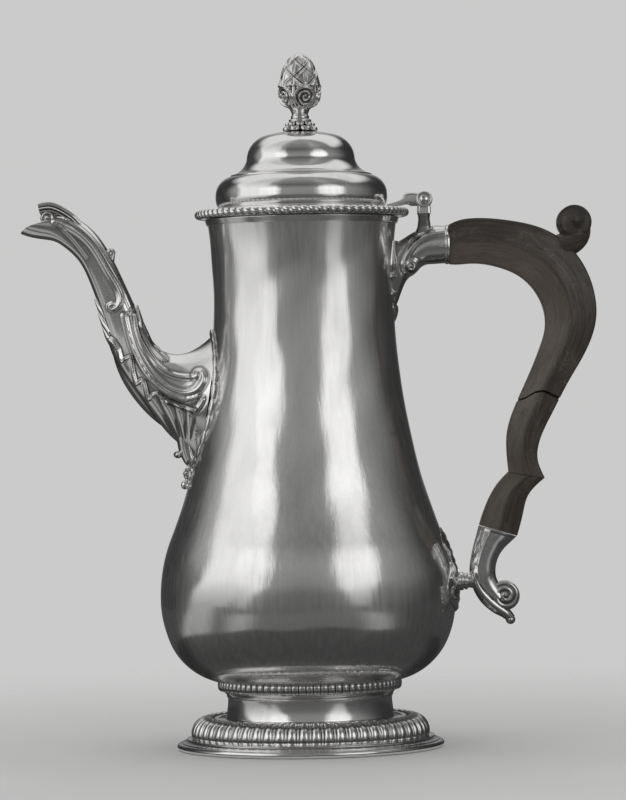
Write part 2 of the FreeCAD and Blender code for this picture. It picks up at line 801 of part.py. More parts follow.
def lid_top_at(radius):
    """Height of the lid's crown at a radius."""
    return lid_top - S.lid_top_arc + leg(S.lid_top_arc, radius)


def lid_pieces():
    """Domed lid, its gadrooned edge and the bezel that drops into the neck."""
    bore = S.stud_radius + S.seat_clearance
    crown_edge = lid_top_at(lid_crown_edge_radius)
    slant = S.lid_wall * 0.7
    foot_up = lid_base + S.lid_foot_height
    drum_up = lid_base + S.lid_drum_height
    shoulder_up = lid_base + S.lid_shoulder_height
    crown_up = lid_base + S.lid_crown_height
    node(lathe("lid_dome_piece", [
        (bore, lid_top_at(bore) - S.lid_wall, S.lid_top_arc - S.lid_wall),
        (bore, lid_top_at(bore)),
        (lid_crown_edge_radius, crown_edge, -S.lid_top_arc),
        (lid_crown_radius, crown_up, -S.lid_crown_arc),
        (lid_shoulder_radius, shoulder_up, S.lid_cove_arc),
        (lid_drum_radius, drum_up, -S.lid_drum_arc),
        (lid_foot_radius, foot_up, -S.lid_drum_arc),
        (lid_foot_radius, lid_base + S.lid_flange + S.lid_flange_slope),
        (lid_flange_radius, lid_base + S.lid_flange),
        (lid_flange_radius, lid_base),
        (lid_foot_radius - S.lid_wall, lid_base),
        (lid_foot_radius - S.lid_wall, foot_up),
        (lid_drum_radius - S.lid_wall, drum_up, S.lid_drum_arc - S.lid_wall),
        (lid_shoulder_radius - slant, shoulder_up - slant, S.lid_drum_arc - S.lid_wall),
        (lid_crown_radius - S.lid_wall, crown_up - slant, -S.lid_cove_arc - S.lid_wall),
        (lid_crown_edge_radius, crown_edge - S.lid_wall, S.lid_crown_arc - slant),
    ]), "lid_dome")
    beaded("lid_gadroon", lid_bead_ring, lid_base + S.lid_bead_radius, S.lid_bead_radius, S.lid_bead_count,
           lid_flange_radius + S.seat_clearance)
    flare = S.neck_flare_arc + S.body_wall
    lip_inside = S.neck_radius + S.neck_flare_arc - leg(flare, lip_rise)
    bezel_top = lip_inside - S.bezel_clearance
    bezel_foot = bezel_top - S.bezel_taper
    node(lathe("lid_bezel_piece", [
        (bezel_top, lid_base),
        (bezel_top - S.bezel_wall, lid_base),
        (bezel_foot - S.bezel_wall, lid_base - S.bezel_depth),
        (bezel_foot, lid_base - S.bezel_depth),
    ]), "lid_bezel")


def leaves(label, count, base, levels, hole):
    """Whorls of leaves as a lobed solid above a base, lofted through levels of (crest radius, dip, rise)."""
    blank = DOC.addObject("Part::Feature", label + "_blank")
    rows = [star(count, crest, dip, base + rise) for crest, dip, rise in levels]
    blank.Shape = Part.makeLoft(rows, True, True)
    node(cut(label + "_piece", blank, hole), label)


def finial_pieces():
    """Petalled rosette, leafy bud, and the stud and square nut that hold them to the lid."""
    bore = S.stud_radius + S.seat_clearance
    rosette_top = lid_top + S.rosette_height
    stud_top = rosette_top + S.bud_height * 0.3
    hole = cylinder("finial_bore", bore, stud_top - lid_base, 0, 0, lid_base)
    waist = S.bud_stem_radius * 1.08
    leaves("finial_rosette", S.rosette_petal_count, lid_top, [
        (S.rosette_radius * 0.85, S.rosette_radius * 0.15, 0),
        (S.rosette_radius, S.rosette_radius * 0.25, S.rosette_height * 0.25),
        (S.rosette_radius * 0.85, S.rosette_radius * 0.2, S.rosette_height * 0.5),
        (S.rosette_radius * 0.65, S.rosette_radius * 0.08, S.rosette_height * 0.7),
        (waist, 0, S.rosette_height * 0.8),
        (waist, 0, S.rosette_height),
    ], hole)
    leaves("finial_bud", S.bud_leaf_count, rosette_top, [
        (S.bud_stem_radius, 0, 0),
        (S.bud_stem_radius, 0, S.bud_height * 0.14),
        (S.bud_radius * 0.85, S.bud_leaf_dip, S.bud_height * 0.24),
        (S.bud_radius * 0.98, S.bud_leaf_dip, S.bud_height * 0.33),
        (S.bud_radius, S.bud_leaf_dip, S.bud_height * 0.48),
        (S.bud_radius * 0.91, S.bud_leaf_dip, S.bud_height * 0.59),
        (S.bud_radius * 0.78, S.bud_leaf_dip, S.bud_height * 0.75),
        (S.bud_radius * 0.57, S.bud_leaf_dip * 0.6, S.bud_height * 0.86),
        (S.bud_radius * 0.4, S.bud_leaf_dip * 0.4, S.bud_height * 0.95),
        (S.bud_radius * 0.1, 0, S.bud_height),
    ], hole)

    stud_foot = lid_top - S.stud_depth
    stud_length = stud_top - S.seat_clearance - stud_foot
    node(cylinder("finial_stud_piece", S.stud_radius, stud_length, 0, 0, stud_foot), "finial_stud")
    nut = DOC.addObject("Part::Box", "finial_nut_blank")
    bind(nut, "Length", S.nut_width)
    bind(nut, "Width", S.nut_width)
    bind(nut, "Height", S.nut_height)
    nut_top = lid_top_at(S.nut_width * 0.71) - S.lid_wall - S.seat_clearance
    placed(nut, -S.nut_width / 2, -S.nut_width / 2, nut_top - S.nut_height)
    node(cut("finial_nut_piece", nut, hole), "finial_nut")


def hinge_pieces(socket):
    """Post with the two outer knuckles, lid leaf with the middle knuckle, and the headed pin."""
    side = S.middle_knuckle_width / 2 + S.knuckle_gap
    saddle = hinge_up - S.knuckle_radius - S.saddle_gap
    fork = new_body("hinge_fork")
    pad = fork.newObject("PartDesign::Pad", "hinge_fork_pad")
    foot = S.post_foot_width / 2
    outline = section(fork, "hinge_fork_outline", hinge_out, 0, 0, [
        (-foot, upper_mouth_up),
        (foot, upper_mouth_up),
        (foot, upper_mouth_up + S.upper_socket_radius),
        (hinge_half, saddle - S.knuckle_width / 3),
        (hinge_half, hinge_up),
        (side, hinge_up),
        (side, saddle),
        (-side, saddle),
        (-side, hinge_up),
        (-hinge_half, hinge_up),
        (-hinge_half, saddle - S.knuckle_width / 3),
        (-foot, upper_mouth_up + S.upper_socket_radius),
    ])
    pad.Profile = outline
    pad.SideType = "Symmetric"
    bind(pad, "Length", S.post_thickness)
    DOC.recompute()
    barrels = [cylinder("hinge_barrel_{}".format(index), S.knuckle_radius, S.knuckle_width, hinge_out, start,
                        hinge_up, ALONG_Y) for index, start in enumerate((-hinge_half, side))]
    seat = cross_rod("hinge_seat", S.hinge_pin_radius + S.seat_clearance, 4 * hinge_half, hinge_out, hinge_up)
    node(cut("hinge_post_piece", fuse("hinge_post_blank", fork, *barrels), seat, socket), "hinge_post")

    flange_up = lid_base + S.lid_flange
    over_beads = lid_base + 2 * S.lid_bead_radius + S.saddle_gap
    leaf_start = lid_drum_radius + S.leaf_thickness
    slope = S.lid_flange_slope / (lid_flange_radius - lid_foot_radius)
    seat_in = flange_up + slope * (lid_flange_radius - leaf_start) + S.seat_clearance
    leaf = padded("lid_leaf_blank", "XZ_Plane", [
        (leaf_start, seat_in),
        (lid_flange_radius, flange_up + S.seat_clearance),
        (lid_flange_radius, over_beads),
        (hinge_out, hinge_up - S.knuckle_radius),
        (hinge_out, hinge_up + S.knuckle_radius),
        (hinge_out - 1.6 * S.knuckle_radius, hinge_up + 0.9 * S.knuckle_radius),
        (hinge_out - 2.2 * S.knuckle_radius, hinge_up),
        (leaf_start, seat_in + S.leaf_thickness),
    ], S.middle_knuckle_width)
    barrel = cross_rod("lid_barrel", S.knuckle_radius, S.middle_knuckle_width, hinge_out, hinge_up)
    bore = cross_rod("lid_barrel_bore", S.hinge_pin_radius + S.hinge_pin_clearance,
                     2 * S.middle_knuckle_width, hinge_out, hinge_up)
    node(cut("lid_leaf_piece", fuse("lid_leaf_whole", leaf, barrel), bore), "lid_hinge_leaf")

    pin = new_body("hinge_pin_piece")
    turn = pin.newObject("PartDesign::Revolution", "hinge_pin_turn")
    end = hinge_half + S.seat_clearance
    dome_arc = S.hinge_pin_head * S.hinge_pin_head / (2 * S.hinge_pin_dome) + S.hinge_pin_dome / 2
    profile = sketch_on(pin, "hinge_pin_profile", "XY_Plane", [
        (0, -end - S.hinge_pin_dome),
        (S.hinge_pin_head, -end, dome_arc),
        (S.hinge_pin_radius, -end),
        (S.hinge_pin_radius, end),
        (S.hinge_pin_head, end),
        (0, end + S.hinge_pin_dome, dome_arc),
    ])
    turn.Profile = profile
    turn.ReferenceAxis = (profile, ["V_Axis"])
    turn.Angle = 360
    placed(pin, hinge_out, 0, hinge_up)
    DOC.recompute()
    node(pin, "hinge_pin")


def socket_at(name, lean, radius, length, out, up):
    """Rod into a socket: length deep from its mouth at (out, up), and as far again into the wood."""
    rod = cylinder(name, radius, 1.6 * length, out - sine(lean) * length, 0, up - cosine(lean) * length,
                   FreeCAD.Rotation(FreeCAD.Vector(0, 1, 0), 1))
    bind(rod, "Placement.Rotation.Angle", lean)
    return rod


def peg_at(name, radius, length, lean, depth, out, up):
    """Cross peg through a tenon at a depth below the mouth of its socket."""
    return cross_rod(name, radius, length, out - sine(lean) * depth, up - cosine(lean) * depth)


def upper_socket_pieces():
    """Upper socket with its volute, and the drop-shaped plate below it on the neck."""
    root_out = S.neck_radius - 2 * S.body_wall
    middle_out = S.neck_radius + (upper_mouth_out - S.neck_radius) * 0.4
    root_up = upper_mouth_up - S.upper_socket_root_drop
    wide = S.upper_socket_root_width / 2
    solid = loft("upper_socket_solid", [
        (upper_mouth_out, upper_mouth_up, 0, oval(S.upper_socket_radius, S.upper_socket_radius)),
        (upper_mouth_out - S.upper_socket_reach * 0.8, upper_mouth_up, 0,
         oval(S.upper_socket_radius * 0.99, S.upper_socket_radius * 0.94)),
        (middle_out, upper_mouth_up - S.upper_socket_root_drop * 0.3, 0,
         oval(S.upper_socket_radius * 1.05, (S.upper_socket_radius + wide) / 2)),
        (root_out, root_up, 0, oval(S.upper_socket_radius * 1.07, wide)),
    ])
    volute = cross_rod("upper_socket_volute", S.upper_volute_radius, S.upper_volute_width,
                       middle_out - S.upper_volute_radius / 3, root_up - S.upper_volute_radius / 6)
    whole = fuse("upper_socket_whole", solid, volute)
    outer = cut("upper_socket_outer", whole, BODY)
    lean = size(90.0)
    bore = socket_at("upper_socket_bore", lean, S.upper_tenon_radius + S.seat_clearance,
                     S.upper_tenon_length + S.seat_clearance, upper_mouth_out, upper_mouth_up)
    hole = peg_at("upper_peg_hole", S.peg_radius + S.seat_clearance, 4 * S.upper_socket_radius, lean,
                  S.upper_tenon_length / 3, upper_mouth_out, upper_mouth_up)
    node(cut("upper_socket_piece", outer, bore, hole), "upper_socket")
    peg_length = 2 * (S.upper_socket_radius + S.peg_stand)
    node(peg_at("upper_peg_piece", S.peg_radius, peg_length, lean, S.upper_tenon_length / 3, upper_mouth_out,
                upper_mouth_up), "upper_peg")

    top = root_up - S.upper_socket_radius * 0.1
    half = S.drop_plate_width / 2
    tip = top - S.drop_plate_length
    applied("upper_drop_plate", mirrored([
        (0, top),
        (half, top),
        (half * 0.72, tip + S.drop_plate_length * 0.5, -S.drop_plate_length),
        (half * 0.25, tip + S.drop_plate_length * 0.28, -S.drop_plate_length * 0.3),
        (half * 0.4, tip + S.drop_plate_length * 0.13, -S.drop_plate_length * 0.12),
        (0, tip, -S.drop_plate_length * 0.16),
    ]), whole)
    return whole, hole


def applied(label, corners, *tools):
    """Plate cut to an outline in the view from the handle side and laid on the body's surface."""
    shape = new_body(label + "_shape")
    pad = shape.newObject("PartDesign::Pad", label + "_pad")
    pad.Profile = sketch_on(shape, label + "_outline", "YZ_Plane", corners)
    bind(pad, "Length", 2 * S.belly_radius)
    DOC.recompute()
    sheet = boolean("Common", label + "_sheet", shape, SKIN)
    node(cut(label + "_piece", sheet, BODY, *tools), label)


def lower_socket_pieces(end):
    """Lower socket with its scroll, the knopped strut to the belly and the cartouche plate there."""
    mouth_out = end["out"]
    mouth_up = end["up"]
    sections = [(mouth_out, mouth_up, end["lean"], oval(end["depth"], S.lower_socket_width / 2))]
    for each in LOWER_SOCKET:
        sections.append((each["out"], each["up"], each["lean"], oval(each["depth"], each["wide"])))
    cup = loft("lower_socket_cup", sections)
    foot = LOWER_SOCKET[-1]
    foot_out = foot["out"]
    foot_up = foot["up"]
    inner = foot_out - foot["depth"]
    eye_out = foot_out + 1.5 * S.scroll_radius
    eye_up = foot_up - 0.7 * S.scroll_radius
    scroll = padded("lower_socket_scroll", "XZ_Plane", [
        (inner, foot_up + S.scroll_radius * 0.4),
        (inner + S.scroll_radius * 0.35, foot_up - S.scroll_radius * 0.35),
        (inner + S.scroll_radius * 1.3, foot_up - S.scroll_radius * 1.35),
        (inner + S.scroll_radius * 2.5, foot_up - S.scroll_radius * 2.25),
        (inner + S.scroll_radius * 2.9, foot_up - S.scroll_radius * 2.6),
        (inner + S.scroll_radius * 3.05, foot_up - S.scroll_radius * 2.25, S.scroll_radius * 0.3),
        (eye_out + S.scroll_radius * 0.36, eye_up - S.scroll_radius * 0.93),
        (eye_out + S.scroll_radius, eye_up, S.scroll_radius),
        (eye_out, eye_up + S.scroll_radius, S.scroll_radius),
        (foot_out + foot["depth"], foot_up + S.scroll_radius * 0.4),
    ], S.scroll_width)
    eye_width = S.scroll_width + 2 * S.scroll_eye_stand
    eye = cross_rod("lower_socket_eye", S.scroll_eye_radius, eye_width, eye_out, eye_up)
    whole = fuse("lower_socket_whole", cup, scroll, eye)
    tilt = S.lower_tenon_tilt
    bore = socket_at("lower_socket_bore", tilt, S.lower_tenon_radius + S.seat_clearance,
                     S.lower_tenon_length + S.seat_clearance, mouth_out, mouth_up)
    hole = peg_at("lower_peg_hole", S.peg_radius + S.seat_clearance, 2 * S.lower_socket_width, tilt,
                  S.lower_tenon_length / 3, mouth_out, mouth_up)
    node(cut("lower_socket_piece", whole, bore, hole), "lower_socket")
    node(peg_at("lower_peg_piece", S.peg_radius, S.lower_socket_width + 2 * S.peg_stand, tilt,
                S.lower_tenon_length / 3, mouth_out, mouth_up), "lower_peg")

    half = S.cartouche_width / 2
    top = foot_up + S.cartouche_length * 0.7
    tip = top - S.cartouche_length
    applied("lower_plate", mirrored([
        (0, top),
        (half * 0.62, top - S.cartouche_length * 0.3, -S.cartouche_length * 0.4),
        (half * 0.5, top - S.cartouche_length * 0.46, -S.cartouche_length * 0.14),
        (half, top - S.cartouche_length * 0.72, -S.cartouche_length * 0.22),
        (half * 0.6, tip + S.cartouche_length * 0.06, -S.cartouche_length * 0.17),
        (0, tip, -S.cartouche_length * 0.3),
    ]))

    strut = new_body("lower_strut_blank")
    turn = strut.newObject("PartDesign::Revolution", "lower_strut_turn")
    start = S.belly_radius - S.body_wall
    stop = foot_out
    knop = (S.belly_radius + S.plate_thickness + inner) / 2
    profile = sketch_on(strut, "lower_strut_profile", "XY_Plane", [
        (start, 0),
        (start, -S.strut_radius),
        (knop - S.strut_knop_width / 2, -S.strut_radius),
        (knop + S.strut_knop_width / 2, -S.strut_radius, S.strut_knop_width * 0.55),
        (stop, -S.strut_radius),
        (stop, 0),
    ])
    turn.Profile = profile
    turn.ReferenceAxis = (profile, ["H_Axis"])
    turn.Angle = 360
    placed(strut, 0, 0, foot_up + S.strut_radius * 0.6)
    DOC.recompute()
    node(cut("lower_strut_piece", strut, SKIN, whole), "lower_strut")
    return hole


def handle_section(each):
    corners = bevelled(each["depth"], S.handle_width / 2, S.handle_bevel)
    return (each["out"], each["up"], each["lean"], corners)


def handle_pieces(upper_hole, lower_hole, end):
    """Wooden handle in two lengths, doweled together at a scarfed joint, with a tenon at each end."""
    wide = S.upper_socket_radius * 0.93
    upper = [(upper_mouth_out, upper_mouth_up, 0, bevelled(wide, wide, wide * 0.4))]
    upper += [handle_section(each) for each in HANDLE_UPPER + HANDLE_LOWER]
    lower = upper[-1:] + [handle_section(each) for each in HANDLE_FOOT[:-1]]
    lower.append((end["out"], end["up"], end["lean"],
                  bevelled(end["depth"] * 0.97, S.lower_socket_width * 0.47, S.lower_socket_width * 0.2)))
    arm = loft("handle_arm", upper)
    tail = loft("handle_tail", lower)

    turn = HANDLE_UPPER[3]
    turn_out = turn["out"]
    turn_up = turn["up"]
    eye_out = turn_out + S.thumb_out
    eye_up = turn_up + S.thumb_rise
    thumb = padded("handle_thumb", "XZ_Plane", [
        (turn_out - S.thumb_out, turn_up + S.thumb_radius),
        (eye_out + S.thumb_radius * 0.2, turn_up + S.thumb_radius * 0.8),
        (eye_out + S.thumb_radius, eye_up - S.thumb_radius * 0.3, S.thumb_radius * 2),
        (eye_out, eye_up + S.thumb_radius, S.thumb_radius * 1.04),
        (eye_out - S.thumb_radius, eye_up - S.thumb_radius * 0.3, S.thumb_radius * 1.04),
        (turn_out - S.thumb_out, eye_up - S.thumb_radius, S.thumb_radius),
    ], S.thumb_width)
    upper_tenon = socket_at("upper_tenon", size(90.0), S.upper_tenon_radius, S.upper_tenon_length,
                            upper_mouth_out, upper_mouth_up)
    lower_tenon = socket_at("lower_tenon", S.lower_tenon_tilt, S.lower_tenon_radius, S.lower_tenon_length,
                            end["out"], end["up"])
    whole = fuse("handle_whole", arm, tail, thumb, upper_tenon, lower_tenon)

    above = HANDLE_UPPER[-1]
    below = HANDLE_LOWER[0]
    joint_out = (above["out"] + below["out"]) / 2
    joint_up = (above["up"] + below["up"]) / 2
    run_out = above["out"] - below["out"]
    run_up = above["up"] - below["up"]
    run = root(run_out * run_out + run_up * run_up)
    start_out = joint_out - run_out / run * S.dowel_length / 2
    start_up = joint_up - run_up / run * S.dowel_length / 2
    lean = Size(math.degrees(math.atan2(run_out.value, run_up.value)),
                "atan({} / {})".format(run_out.text, run_up.text))

    def dowel(name, clearance):
        rod = cylinder(name, S.dowel_radius + clearance, S.dowel_length + 2 * clearance, start_out, 0,
                       start_up, FreeCAD.Rotation(FreeCAD.Vector(0, 1, 0), 1))
        bind(rod, "Placement.Rotation.Angle", lean)
        return rod

    def under_joint(name, drop):
        """Everything below the scarfed joint line lowered by drop."""
        reach = 4 * S.joint_step
        return padded(name, "XZ_Plane", [
            (S.belly_radius, 0),
            (joint_out + 3 * reach, 0),
            (joint_out + 3 * reach, joint_up - S.joint_step * 0.6 - drop),
            (joint_out + 0.8 * reach, joint_up - S.joint_step * 0.6 - drop),
            (joint_out - 0.1 * reach, joint_up - drop, reach),
            (joint_out - 0.85 * reach, joint_up - S.joint_step - drop, -reach),
            (S.belly_radius, joint_up - S.joint_step - drop),
        ], 2 * S.handle_width)

    hole = dowel("dowel_hole", S.seat_clearance)
    node(cut("handle_upper_piece", whole, under_joint("handle_joint", 0), hole, upper_hole),
         "handle_upper_wood")
    kept = boolean("Common", "handle_lower_blank", whole, under_joint("handle_joint_lowered", S.joint_gap))
    node(cut("handle_lower_piece", kept, hole, lower_hole), "handle_lower_wood")
    node(dowel("handle_dowel_piece", 0), "handle_dowel")


def check_and_write():
    """Stop on any failed object, then write one file for each piece."""
    DOC.recompute()
    for obj in DOC.Objects:
        if "Invalid" in obj.State or "Error" in obj.State:
            raise RuntimeError("{} did not build: {}".format(obj.Label, obj.State))
    for obj in NODES:
        if obj.Shape.isNull() or not obj.Shape.isValid():
            raise RuntimeError("{} has no valid shape".format(obj.Label))
    os.makedirs("parts", exist_ok=True)
    for obj in NODES:
        obj.Shape.exportStep(os.path.join("parts", obj.Label + ".step"))
        print(obj.Label, len(obj.Shape.Solids), round(obj.Shape.Volume, 1))


BODY = envelope("body_envelope", 0)
SKIN = envelope("body_skin", S.plate_thickness)
handle_end = HANDLE_FOOT[-1]
bore = spout_channel()
body_pieces(bore)
foot_pieces()
spout_pieces(bore)
lid_pieces()
finial_pieces()
upper_socket, upper_peg_hole = upper_socket_pieces()
lower_peg_hole = lower_socket_pieces(handle_end)
handle_pieces(upper_peg_hole, lower_peg_hole, handle_end)
hinge_pieces(upper_socket)
check_and_write()
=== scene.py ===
import math

import bmesh
import bpy
import numpy as np
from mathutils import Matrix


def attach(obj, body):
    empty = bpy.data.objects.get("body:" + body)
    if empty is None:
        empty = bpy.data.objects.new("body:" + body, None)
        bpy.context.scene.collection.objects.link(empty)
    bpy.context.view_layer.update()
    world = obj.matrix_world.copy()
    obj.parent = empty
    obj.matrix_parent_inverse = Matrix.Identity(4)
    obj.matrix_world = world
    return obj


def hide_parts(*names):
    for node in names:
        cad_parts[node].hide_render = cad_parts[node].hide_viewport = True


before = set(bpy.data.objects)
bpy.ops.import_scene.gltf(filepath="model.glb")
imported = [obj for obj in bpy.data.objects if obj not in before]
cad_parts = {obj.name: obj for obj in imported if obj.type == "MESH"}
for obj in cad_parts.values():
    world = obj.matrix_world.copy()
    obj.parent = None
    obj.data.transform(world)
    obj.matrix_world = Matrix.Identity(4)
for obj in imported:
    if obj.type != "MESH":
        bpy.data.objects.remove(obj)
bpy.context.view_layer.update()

bl_info = {
    "name": "Silver Coffee Pot",
    "version": (1, 0, 0),
    "blender": (4, 5, 0),
    "location": "3D View > Sidebar > Coffee Pot",
    "description": "Dresses the coffee pot's frame in raised and cast silver and dark wood",
    "category": "Object",
}

# Lengths in this file are millimetres until a mesh is made. The spout points to -X, the handle to +X.
MM = 0.001
TAU = 2 * np.pi

# Columns of the pieces turned round the pot's axis, and how far cast pieces sink into the body
COLUMNS = 176
SINK = 0.4

# Outlines turned round the pot's axis. A corner is (radius, height), or (radius, height, arc) where it
# ends an arc of that radius, which turns left if it is positive.
BODY_OUTER = [
    (0, 28.4), (32.94, 28.4), (59.65, 45.4, 29.5), (63.8, 64, 43.9), (58.96, 89.96, 72),
    (38.8, 198, -299.62), (40.95, 228.5, -217)]
BODY_INNER = [
    (40.15, 228.5), (38.0, 198, 217.8), (58.17, 89.7, 300.42), (63.0, 64, -71.2), (58.91, 45.71, -43.1),
    (32.94, 29.2, -28.7), (0, 29.2)]
NECK_BAND = [
    (40.6, 225.7), (40.95, 225.7), (41.25, 225.95, 0.3), (41.95, 228.0), (41.45, 228.5, 0.5), (40.9, 228.5)]
FOOT_RIM = [
    (47.5, 0), (56.3, 0), (57.7, 1.4, 1.4), (56.3, 2.8, 1.4), (55.6, 2.95), (55.6, 3.3), (53.4, 4.35, -4.4),
    (53.4, 4.9), (47.5, 4.9)]
FOOT_SHELL = [
    (34.2, 22.4), (34.2, 11.3), (43.2, 11.3), (48.4, 6.1, -5.2), (48.4, 4.9), (49.6, 4.9), (49.6, 6.1),
    (43.2, 12.5, 6.4), (41.4, 12.5), (41.4, 13.5), (39.6, 13.5), (39.6, 12.9), (37.6, 12.9),
    (36.3, 14.4, -1.6), (35.4, 22.4, -36.0)]
FOOT_COLLAR = [
    (33.5, 22.4), (35.9, 22.4), (36.1, 23.0), (35.8, 23.1), (38.8, 25.3, -4), (38.8, 25.8), (36.7, 25.8),
    (36.7, 29.4), (33.5, 29.4)]
LID_SHELL = [
    (1.65, 266.33), (14, 264.69, -60), (23.4, 254.15, -11), (29.8, 247.5, 9), (30.5, 247.4), (30.7, 246.85),
    (37.1, 238.35, -8.5), (35.9, 233.15, -8.5), (35.9, 231.55), (43.45, 230.75), (43.45, 228.75),
    (35.1, 228.75), (35.1, 233.15), (36.3, 238.35, 7.7), (30.44, 246.09, 7.7), (22.6, 253.59, -9.8),
    (14, 263.89, 10.44), (1.65, 265.53, 59.2)]
LID_BEZEL = [(39.55, 228.75), (38.65, 228.75), (37.55, 221.55), (38.45, 221.55)]
FINIAL_NECK = [(1.6, 270.2), (4.6, 270.2), (4.9, 270.75, 0.5), (4.6, 271.3, 0.5), (1.6, 271.3)]

# Smooth paths turned round the pot's axis: the two whorls of the rosette, and the bud
WHORLS = [
    [(1.6, 266.2), (6.2, 266.3), (8.0, 267.0), (7.4, 268.0), (4.4, 268.3), (1.6, 268.3)],
    [(1.6, 268.2), (4.8, 268.3), (6.6, 269.2), (5.8, 270.0), (4.3, 270.2), (1.6, 270.3)]]
PETALS = 8
BUD = [
    (3.6, 270.9), (4.35, 271.6), (4.3, 272.8), (4.0, 273.4), (4.25, 274.3), (5.0, 275.8), (7.3, 277.9),
    (8.5, 280.4), (8.8, 283.0), (8.7, 285.5), (8.05, 288.0), (7.4, 290.7), (6.6, 293.3), (5.2, 295.9),
    (3.5, 298.3), (1.6, 299.7), (0.0, 300.0)]
MEDALLIONS = 5

# Waves left by raising the body: share of their height, turns round the pot, rate of height and start
RAISING_WAVES = [
    (1.0, 3, 0.035, 0.4), (0.9, 5, -0.05, 2.1), (0.7, 8, 0.09, 4.4), (0.6, 7, -0.14, 1.3),
    (0.45, 13, 0.11, 5.2), (0.4, 11, -0.21, 3.0)]

# Oval rod that bores the spout's hole: its ends (x, height), lean from upright in degrees and half sizes
HOLE_ENDS = np.array([(-33.0, 154.2), (-62.0, 157.8)])
HOLE_LEAN = 18.6
HOLE_HALF_HEIGHT = 12.6
HOLE_HALF_WIDTH = 9.5

# Gadroons of the foot: middle of the shoulder's arc (radius, height), reach of their hollows, height of
# their lobes and reach of their plain back
GADROON_CENTRE = (43.2, 6.1)
GADROON_REACH = 7.1
GADROON_SWELL = 1.5
GADROON_BACK = 6.45

# Spout sections from the body to the mouth: x, height, lean from upright, half depth, half width
SPOUT = np.array([
    (-41.0, 152.3, 9.0, 30.0, 16.0), (-53.0, 153.9, 13.8, 18.9, 12.5), (-62.0, 157.8, 18.6, 14.1, 11.0),
    (-71.8, 168.3, 37.0, 10.4, 9.2), (-76.5, 180.2, 62.8, 8.4, 7.8), (-81.6, 194.4, 66.8, 7.2, 7.0),
    (-86.3, 206.2, 66.0, 6.7, 6.5), (-91.2, 215.5, 52.7, 6.6, 6.2), (-99.3, 223.6, 33.7, 6.7, 6.0),
    (-106.8, 226.6, 18.0, 6.0, 5.8), (-115.7, 226.0, 70.7, 6.2, 5.0)])
SPOUT_ROWS = 440
SPOUT_COLUMNS = 152
SPOUT_WALL = 1.3
# The bore's last stretch, from the root of the spout into the body
SPOUT_ENTRANCE = np.array([24.0, 0.0, -3.0])

# Lines of the spout's relief in the view from the side: points, half width and height of the raised line
SPOUT_LINES = [
    ([(-106.5, 228.6), (-97.4, 223.9), (-89.8, 216.1), (-83.9, 205.6), (-79.3, 196.9), (-79.0, 194.0),
      (-80.6, 191.2), (-82.9, 190.7), (-83.6, 191.9), (-82.3, 192.7)], 1.0, 1.0),
    ([(-101.0, 229.8), (-88.9, 218.6), (-84.7, 211.7), (-79.7, 202.9), (-74.7, 191.6)], 0.7, 0.55),
    ([(-74.8, 187.0), (-73.6, 180.0), (-70.7, 170.9), (-63.2, 159.5), (-53.8, 154.2), (-46.9, 154.9),
      (-44.0, 158.3), (-43.6, 161.6), (-45.4, 162.7), (-46.5, 161.2)], 1.5, 1.25),
    ([(-77.3, 187.6), (-75.4, 179.6), (-71.9, 169.0), (-66.0, 159.6), (-58.0, 153.2), (-51.0, 151.2),
      (-45.6, 152.4)], 1.1, 0.9),
    ([(-72.6, 187.4), (-71.2, 179.9), (-67.3, 171.7), (-61.4, 164.7), (-55.4, 161.6), (-45.9, 160.8)],
     1.0, 0.85),
    ([(-71.6, 190.2), (-70.0, 186.0), (-66.3, 178.4), (-62.1, 172.4), (-59.1, 169.2)], 0.6, 0.45),
    ([(-104.5, 226.8), (-98.3, 220.1), (-92.9, 212.8)], 0.6, 0.35),
    ([(-59.0, 150.6), (-53.0, 148.1), (-47.0, 146.6), (-43.6, 151.0)], 0.8, 0.8),
]
# Leaf that wraps the front of the spout: its scalloped upper edge, the corners off the spout that close
# its outline, and the point and rate of its flutes
LEAF_EDGE = np.array([
    (-83.2, 178.6), (-81.2, 177.0), (-79.2, 173.6), (-77.9, 168.8), (-76.6, 169.9), (-74.3, 170.6),
    (-73.2, 163.4), (-72.0, 159.0), (-70.3, 160.3), (-68.9, 159.7), (-66.9, 152.5), (-65.4, 154.0),
    (-63.2, 154.5), (-59.4, 151.4), (-53.0, 148.9), (-47.0, 147.0)])
LEAF_CLOSE = [(-47.0, 110.0), (-100.0, 110.0), (-100.0, 178.6)]
FLUTE_FOOT = np.array([-51.0, 123.5])
FLUTE_RATE = 16.0
# Oval on the body that the border of the spout's root follows: middle, half sizes and lean in degrees
ROOT_HEIGHT = 151.4
ROOT_HALF_HEIGHT = 28.2
ROOT_HALF_WIDTH = 16.0
ROOT_LEAN = 9.0

# Sweeps in the plane of the spout and handle: middle line, and half depth and half width at its points
SPOUT_CAP = (
    [(-113.4, 234.4), (-108.6, 234.9), (-104.0, 233.2), (-99.4, 230.2), (-95.6, 226.4), (-92.6, 222.6)],
    [2.3, 2.4, 2.2, 2.0, 1.5, 0.8], [4.6, 5.0, 5.0, 4.6, 3.6, 1.6])
LEAF_TIPS = [
    ([(-84.8, 187.4), (-87.6, 191.2), (-90.4, 195.4)], [2.2, 1.5, 0.15], [4.2, 2.6, 0.2]),
    ([(-83.4, 181.2), (-86.0, 184.8), (-88.8, 188.9)], [2.3, 1.6, 0.15], [4.4, 2.8, 0.2]),
    ([(-81.6, 175.2), (-84.4, 179.2), (-87.2, 183.6)], [2.4, 1.7, 0.15], [4.6, 3.0, 0.2]),
    ([(-71.0, 177.0), (-71.2, 185.4), (-71.7, 192.4)], [3.0, 2.1, 0.25], [5.6, 4.4, 0.5]),
    ([(-83.6, 208.6), (-82.6, 212.2), (-81.4, 215.4)], [1.3, 1.5, 0.6], [2.6, 2.2, 0.9]),
    ([(-84.4, 214.6), (-82.4, 216.2), (-81.0, 214.6)], [0.7, 1.0, 0.5], [2.2, 2.0, 1.0])]
